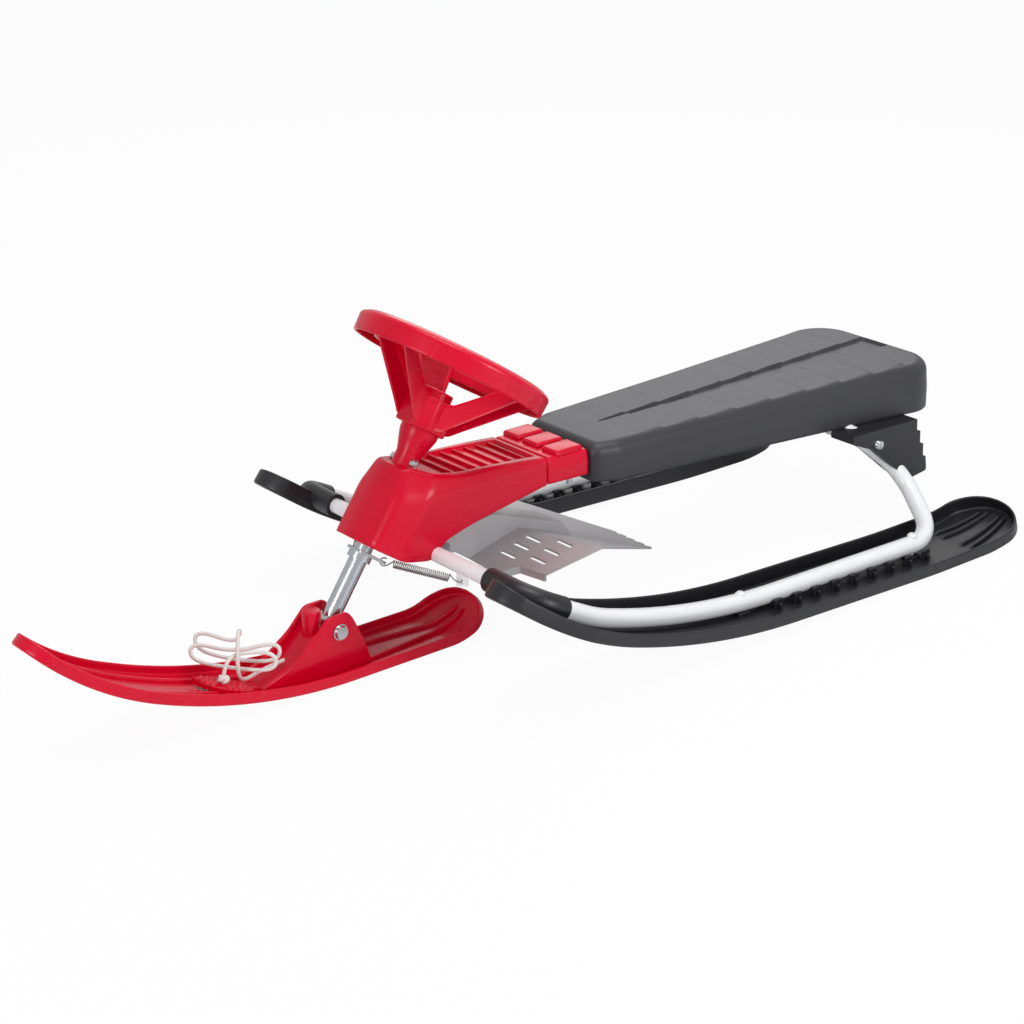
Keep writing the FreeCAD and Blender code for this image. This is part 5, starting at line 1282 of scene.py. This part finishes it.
@dataclass
class RearSkis:
    """Pair of black rear skis with tail ribs, tube clips and bolt bosses."""

    centre_y: float = 193.0
    pan: SkiPan = field(default_factory=lambda: SkiPan(
        (-585.0, 18.96, -25.15),
        [(87.8, 25.15), (60.0, 0.0), (57.6, 2.2), (191.5, 0.0), (234.8, 14.95), (171.0, 21.77)],
        47.0, 20.0, 100.0, 46.0, 18.0, 17.6, tilt=3.2,
        ribs=[(-580.0, -490.0, 7.5, 14.0), (-576.0, -492.0, 16.0, 27.0)],
    ))

    def fittings(self) -> list[tuple[np.ndarray, np.ndarray]]:
        """Tube clips on both sides of the tube and the two bosses under its bolts."""
        parts = []
        for number in range(9):
            x = -434.0 + 30.0 * number
            for side in (-1.0, 1.0):
                parts.append(self.pan.upright(x, side * 13.6, (12.0, 3.6, 0.0), 14.5, 1.7))
                parts.append(self.pan.upright(x, side * 16.5, (3.0, 6.0, 0.0), 10.0, 1.4))
        for spot in (-150.0, -425.0):
            parts.append(self.pan.upright(spot, 0.0, (18.0, 16.0, 0.0), 6.0, 1.5))
        return parts

    def build(self) -> None:
        """Makes both skis."""
        surface = joined([self.pan.surface()] + self.pan.ridges() + self.fittings())
        for side in Side:
            points = surface[0] + np.array([0.0, self.centre_y, 0.0])
            name = side.name.lower()
            make_piece(f"{name}_ski_moulding", mirrored((points, surface[1]), side), BLACK,
                       "frame", (f"{name}_rear_ski",))


# Covers: console and seat


@dataclass
class Cover:
    """Open-bottomed moulding drawn by its plan, the height of its top and of its rim.

    Columns go round the plan. Rows go from the middle of the top out to the rounded edge,
    down the side, round the rim and back up inside to the middle. Above a reference height
    the front leans back by the column's rake and the sides draw in.
    """

    corners: list[tuple[float, float, float]]
    spine: tuple[float, float]
    top_line: list[tuple[float, float]]
    rim_line: list[tuple[float, float]]
    narrowing: list[tuple[float, float]]
    edge: float
    wall: float
    lean: float = 0.0
    lean_from: float = 0.0
    columns: int = 420
    across: int = 44

    def relief(self, x: np.ndarray, y: np.ndarray) -> np.ndarray:
        """Height added to the top; a plain cover has none."""
        return np.zeros_like(x + y)

    def curve(self, line: list[tuple[float, float]], x: np.ndarray) -> np.ndarray:
        """Smooth height over x: straight runs between the points, averaged over 16 mm."""
        spots = np.array(sorted(line))
        shifts = np.linspace(-8.0, 8.0, 9)
        runs = [np.interp(x + shift, spots[:, 0], spots[:, 1]) for shift in shifts]
        return np.mean(runs, axis=0)

    def leaned(self, x: np.ndarray, z: np.ndarray) -> np.ndarray:
        """Moves x back by the rake for the height above the reference, in front only."""
        if not self.lean:
            return x
        share = smooth((x - 20.0) / 130.0)
        return x - self.lean * (z - self.lean_from) * share

    def narrowed(self, y: np.ndarray, z: np.ndarray) -> np.ndarray:
        """Draws y in as the section narrows upwards."""
        levels = np.array(self.narrowing)
        return y * np.interp(z, levels[:, 0], levels[:, 1])

    def at_line(self, spots: np.ndarray, line: list[tuple[float, float]], drop: float) -> tuple:
        """Finds where plan points meet a height line, by repeating lean and height.

        Args:
            spots: Plan points.
            line: Height over x.
            drop: Height below the line.

        Returns:
            x and z of each point.
        """
        x = spots[..., 0]
        z = self.curve(line, x) - drop
        for _ in range(14):
            x = self.leaned(spots[..., 0], z)
            z = self.curve(line, x) - drop
        return x, z

    def rows(self) -> np.ndarray:
        """All rows of the cover, each with x, y and z of every column."""
        loop = rounded_loop(self.corners, self.columns)
        normal = inward(loop)
        middle = np.stack([np.clip(loop[:, 0], *self.spine), np.zeros(len(loop))], axis=1)
        share = np.linspace(0.0, 1.0, self.across)[:, None, None]
        shelf = loop + normal * self.edge
        top = middle + (shelf - middle) * share
        x, z = self.at_line(top, self.top_line, 0.0)
        y = self.narrowed(top[..., 1], z)
        z = z + self.relief(x, y)
        rows = [np.stack([x, y, z], axis=-1)]
        for angle in np.linspace(0.15, 1.0, 6) * math.pi / 2.0:
            spots = loop + normal * self.edge * (1.0 - math.sin(angle))
            x, z = self.at_line(spots, self.top_line, self.edge * (1.0 - math.cos(angle)))
            rows.append(np.stack([x, self.narrowed(spots[:, 1], z), z], axis=-1)[None])
        _, high = self.at_line(loop, self.top_line, self.edge)
        _, low = self.at_line(loop, self.rim_line, -0.9)
        outer = self.walls(loop, high, low, np.linspace(0.1, 1.0, 11))
        lip = loop + normal * 0.8
        rows += [outer, self.walls(lip, low - 0.7, low - 0.9, np.array([1.0]))]
        inner = loop + normal * self.wall
        rows += [self.walls(loop + normal * (self.wall - 0.8), low, low - 0.9, np.array([1.0]))]
        _, ceiling = self.at_line(inner, self.top_line, self.wall + 6.0)
        rows += [self.walls(inner, low, ceiling, np.linspace(0.0, 1.0, 5))]
        inside = middle + (inner - middle) * (1.0 - share[::6])
        x, z = self.at_line(inside, self.top_line, self.wall + 5.0)
        rows += [np.stack([x, self.narrowed(inside[..., 1], z), z], axis=-1)]
        return np.concatenate(rows)

    def walls(self, loop: np.ndarray, first: np.ndarray, last: np.ndarray,
              share: np.ndarray) -> np.ndarray:
        """Rows of a side between two heights of every column."""
        z = first + (last - first) * share[:, None]
        x = self.leaned(np.broadcast_to(loop[:, 0], z.shape), z)
        return np.stack([x, self.narrowed(np.broadcast_to(loop[:, 1], z.shape), z), z], axis=-1)

    def surface(self) -> tuple[np.ndarray, np.ndarray]:
        """The cover as points and quads."""
        rows = self.rows()
        return rows.reshape(-1, 3), grid_faces(rows.shape[0], rows.shape[1], True)


class ConsoleFront(Cover):
    """Front of the console with the sunk deck behind its tall nose."""

    def relief(self, x: np.ndarray, y: np.ndarray) -> np.ndarray:
        """Sunk deck between the side rims."""
        return -4.5 * hump(x, -3.0, 122.0, 5.0) * hump(y, -33.0, 33.0, 4.0)


@dataclass
class Console:
    """Red console: front cover with its deck bars, and the rear block with three pads."""

    def front(self) -> None:
        """Makes the front cover and the seven bars of its deck."""
        cover = ConsoleFront(
            corners=[(-10, -45, 2.5), (172, -45, 36), (206, -32, 14), (214, 0, 70),
                     (206, 32, 14), (172, 45, 36), (-10, 45, 2.5)],
            spine=(6.0, 176.0),
            top_line=[(-20, 178), (-10, 178.4), (26, 182), (100, 186.5), (128, 191.5),
                      (148, 198.5), (164, 203.0), (190, 197.5), (210, 190)],
            rim_line=[(-30, 150), (-6, 148), (81, 133), (113, 125), (131, 119), (139, 105),
                      (150, 106), (178, 112), (226, 143), (240, 152)],
            narrowing=[(100, 1.0), (176, 1.0), (188, 0.86), (204, 0.68), (210, 0.66)],
            edge=5.0, wall=3.0, lean=0.672, lean_from=133.5,
        )
        parts = [cover.surface()]
        deck = 178.0 + (8.0 + 16.0 * np.arange(7)) * 0.0742
        for number in range(7):
            x = 8.0 + 16.0 * number
            parts.append(block((x, 0.0, deck[number] - 3.2), (2.6, 62.0, 7.0), 0.9))
        make_piece("console_cover", joined(parts), RED, "frame", ("console_front",), 50.0)

    def rear(self) -> None:
        """Makes the rear block with its raised pads."""
        cover = Cover(
            corners=[(-66.5, -49.5, 7), (-10.4, -45.5, 2.5), (-10.4, 45.5, 2.5), (-66.5, 49.5, 7)],
            spine=(-46.0, -28.0),
            top_line=[(-70, 176.0), (-60, 176.5), (-10, 177.6), (0, 178)],
            rim_line=[(-70, 149.0), (-10, 149.0)],
            narrowing=[(100, 1.0), (164, 1.0), (177, 0.93), (185, 0.9)],
            edge=4.0, wall=3.0, columns=220, across=16,
        )
        parts = [cover.surface()]
        for y in (-31.0, 0.0, 31.0):
            parts.append(block((-41.0, y, 177.8), (37.0, 26.0, 8.0), 3.4))
        make_piece("console_block", joined(parts), RED, "frame", ("console_rear",), 50.0)

    def build(self) -> None:
        """Makes both pieces."""
        self.front()
        self.rear()


class SeatCover(Cover):
    """Seat top with its widening channel and shallow cross steps."""

    def relief(self, x: np.ndarray, y: np.ndarray) -> np.ndarray:
        """Channel down the middle and planks that rise to the rear and step down.

        The channel's half width grows along x from nothing to 21 mm. Each plank climbs by
        1.5 mm over 52 mm, and the next starts at the foot again.
        """
        half = np.interp(-x, [118.0, 600.0], [0.5, 21.0])
        inside = smooth((half + 1.2 - np.abs(y)) / 2.4)
        channel = -3.5 * inside * smooth((-116.0 - x) / 16.0)
        share = np.mod(-x - 112.0, 52.0) / 52.0
        climb = np.where(share < 0.94, share / 0.94, (1.0 - share) / 0.06)
        reach = smooth((-118.0 - x) / 12.0) * smooth((x + 566.0) / 14.0)
        width = np.interp(-x, [66.0, 93.0, 290.0, 500.0, 578.0], [44.0, 54.0, 68.0, 84.0, 80.0])
        reach = reach * smooth((width - np.abs(y)) / 6.0)
        return channel + (1.5 * climb - 0.6) * reach * (1.0 - inside)


@dataclass
class Seat:
    """Charcoal seat moulding."""

    def build(self) -> None:
        """Makes the seat and the bosses beneath it."""
        cover = SeatCover(
            corners=[(-66.5, -55, 14), (-93, -66, 25), (-290, -80, 300), (-500, -98, 300),
                     (-578, -108, 48), (-578, 108, 48), (-500, 98, 300), (-290, 80, 300),
                     (-93, 66, 25), (-66.5, 55, 14)],
            spine=(-520.0, -110.0),
            top_line=[(-620, 181.0), (-578, 181.6), (-100, 181.8), (-60, 180.5)],
            rim_line=[(-620, 124.8), (-578, 126.0), (-66.5, 140.0), (-40, 140.7)],
            narrowing=[(100, 1.0), (150, 0.985), (172, 0.955), (182, 0.935)],
            edge=11.0, wall=4.0, columns=620, across=64,
        )
        parts = [cover.surface()]
        for x in (-130.0, -395.0):
            boss = plate(rounded_square(13.0, 12.9, 40), 154.4, 174.0, 0.8)
            parts.append(placed(boss, FLAT_AXES, np.array([x, 0, 0])))
        make_piece("seat_moulding_top", joined(parts), CHARCOAL, "frame", ("seat_shell",), 50.0)


# Steering wheel


@dataclass
class SteeringWheel:
    """Red wheel: hollow rim, three channel spokes and a hub block, drawn in the column's frame."""

    outer: float = 105.0
    inner: float = 80.0
    low: float = 269.0
    high: float = 293.0
    seams: tuple[float, ...] = (0.62, 2.2, 3.6, 5.1)

    def rim(self) -> tuple[np.ndarray, np.ndarray]:
        """Rim turned about the column.

        The section is a hollow arch: up the outer wall, over the round top, down the inner
        wall and back inside. At each seam the radius dips by half a millimetre over a
        millimetre and a half.
        """
        angle = np.linspace(0.0, 2.0 * math.pi, 900, endpoint=False)
        section = rounded_loop([
            (self.outer - 1.2, self.low, 0.8), (self.outer, self.high - 4, 5.5),
            (self.outer - 9, self.high + 0.6, 8), (self.inner + 4, self.high - 0.5, 6),
            (self.inner, self.high - 7, 4), (self.inner - 0.3, self.low + 3, 0.8),
            (self.inner + 2.6, self.low + 3, 0.8), (self.inner + 4, self.high - 6, 3),
            (self.outer - 5, self.high - 6, 4), (self.outer - 4.2, self.low, 0.8)], 84)
        dip = np.zeros_like(angle)
        for seam in self.seams:
            away = np.abs(np.angle(np.exp(1j * (angle - seam)))) * self.outer
            dip = np.maximum(dip, np.exp(-(away / 0.9) ** 2))
        centre = section.mean(axis=0)
        pull = 1.0 - 0.03 * dip[None, :]
        r = centre[0] + (section[:, 0, None] - centre[0]) * pull
        h = centre[1] + (section[:, 1, None] - centre[1]) * pull
        points = np.stack([r * np.cos(angle), r * np.sin(angle), h], axis=-1)
        rows = np.concatenate([points, points[:1]])
        return rows.reshape(-1, 3), grid_faces(len(rows), len(angle), True)

    def spoke(self) -> tuple[np.ndarray, np.ndarray]:
        """Channel spoke from the hub to the rim.

        A U-shaped section is carried outwards; its width, top and flanges change along it.
        """
        share = np.linspace(0.0, 1.0, 26)
        reach = 18.0 + (88.0 - 18.0) * share
        top = np.interp(share, [0.0, 0.12, 0.85, 1.0], [240.0, 243.0, 287.0, 288.5])
        foot = np.interp(share, [0.0, 0.1, 0.95, 1.0], [211.0, 212.0, 270.0, 272.0])
        half = np.interp(share, [0.0, 0.25, 1.0], [15.0, 15.5, 22.5])
        wall, skin = 2.8, 4.0
        section = rounded_loop([
            (-1.0, 0.0, 0.02), (-1.0, 1.0, 0.10), (1.0, 1.0, 0.10), (1.0, 0.0, 0.02),
            (0.86, 0.0, 0.02), (0.86, 0.86, 0.06), (-0.86, 0.86, 0.06), (-0.86, 0.0, 0.02)], 96)
        inner = np.abs(section[:, 0]) < 0.88
        side = section[None, :, 0] * half[:, None]
        side = np.where(inner[None] & (np.abs(section[None, :, 0]) > 0.8),
                        np.sign(section[None, :, 0]) * (half[:, None] - wall), side)
        height = foot[:, None] + (top - foot)[:, None] * section[None, :, 1]
        ceiling = top[:, None] - skin
        height = np.where(inner[None], np.minimum(height, ceiling), height)
        points = np.stack([np.repeat(reach[:, None], section.shape[0], axis=1), side, height], -1)
        return points.reshape(-1, 3), grid_faces(len(share), section.shape[0], True)

    def hub(self) -> list[tuple[np.ndarray, np.ndarray]]:
        """Hub block with its flats, and the low collar round the nut."""
        flats = rounded_loop([(26, -13, 3), (26, 13, 3), (11, 22.5, 4), (-13, 23.5, 4),
                              (-22, 9, 4), (-22, -9, 4), (-13, -23.5, 4), (11, -22.5, 4)], 120)
        section = rounded_loop([(13.6, 238, 0.5), (17, 238, 0.5), (16.6, 250, 1.4),
                                (13.8, 250, 1.2)], 32)
        angle = np.linspace(0.0, 2.0 * math.pi, 61)[None]
        ring = np.stack([section[:, :1] * np.cos(angle), section[:, :1] * np.sin(angle),
                         section[:, 1:] + 0.0 * angle], axis=-1)
        rows = np.concatenate([ring, ring[:1]])[:, :-1]
        return [plate(flats, 207.0, 240.5, 2.0),
                (rows.reshape(-1, 3), grid_faces(len(rows), rows.shape[1], True))]

    def build(self) -> None:
        """Makes the wheel."""
        parts = [self.rim()] + self.hub()
        points, faces = self.spoke()
        for turn in (0.0, 2.0 * math.pi / 3.0, 4.0 * math.pi / 3.0):
            spin = np.array([(math.cos(turn), math.sin(turn), 0.0),
                             (-math.sin(turn), math.cos(turn), 0.0), (0.0, 0.0, 1.0)])
            parts.append((points @ spin, faces))
        make_piece("wheel_moulding", placed(joined(parts), COLUMN_AXES, COLUMN_BASE), RED,
                   "steering", ("steering_wheel",), 45.0)


# Pieces taken over from the frame


@dataclass
class FrameParts:
    """Nodes whose shape is right as they are, and those that only need eased edges."""

    kept: dict[str, Finish] = field(default_factory=lambda: {
        "cross_tube": WHITE, "rear_cross_tube": WHITE, "left_side_tube": WHITE,
        "right_side_tube": WHITE, "head_tube": WHITE, "lower_bush": NYLON, "upper_bush": NYLON,
        "steering_shaft": ZINC, "left_ski_bolts": WHITE, "right_ski_bolts": WHITE,
        "seat_bolts": ZINC, "support_bolts": ZINC, "front_bar_bolts": ZINC, "brake_pin": ZINC,
        "neck_bolt": ZINC, "ski_pivot_bolt": ZINC, "wheel_nut": ZINC, "shaft_eye": ZINC,
    })
    eased: dict[str, tuple[str, Finish, str, float]] = field(default_factory=lambda: {
        "spine_rail": ("spine_tube", WHITE, "frame", 1.2),
        "rear_saddles": ("saddle_plates", WHITE, "frame", 0.4),
        "head_gussets": ("gusset_plates", WHITE, "frame", 0.4),
        "brake_hangers": ("hanger_plates", SHEET, "frame", 0.4),
        "spring_anchors": ("anchor_tabs", WHITE, "frame", 0.4),
        "spring_bracket": ("eared_bracket", ZINC, "steering", 0.4),
        "front_bar": ("clamp_bar", ZINC, "frame", 0.5),
        "steering_neck": ("neck_collar", RED, "steering", 1.0),
        "left_rear_support": ("left_stepped_support", BLACK, "frame", 0.9),
        "right_rear_support": ("right_stepped_support", BLACK, "frame", 0.9),
        "left_ski_cap": ("left_tube_cap", BLACK, "frame", 0.6),
        "right_ski_cap": ("right_tube_cap", BLACK, "frame", 0.6),
        "brake_plate": ("brake_pressing", SHEET, "brake", 0.5),
    })

    def build(self) -> None:
        """Finishes the kept nodes and makes the eased copies."""
        for node, finish in self.kept.items():
            SHOP.coat(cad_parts[node], finish)
        for node, (name, finish, body, width) in self.eased.items():
            eased_copy(node, name, finish, body, width)


def main() -> None:
    """Builds every part of the scene in order."""
    logging.basicConfig(level=logging.INFO, format="%(name)s: %(message)s")
    builders = [Studio(), PullCord(), ReturnSprings(), FrontSki(), RearSkis(), Console(), Seat(),
                SteeringWheel(), FrameParts()]
    for builder in builders:
        builder.build()
        LOG.info("done: %s", type(builder).__name__)


if __name__ == "__main__":
    main()
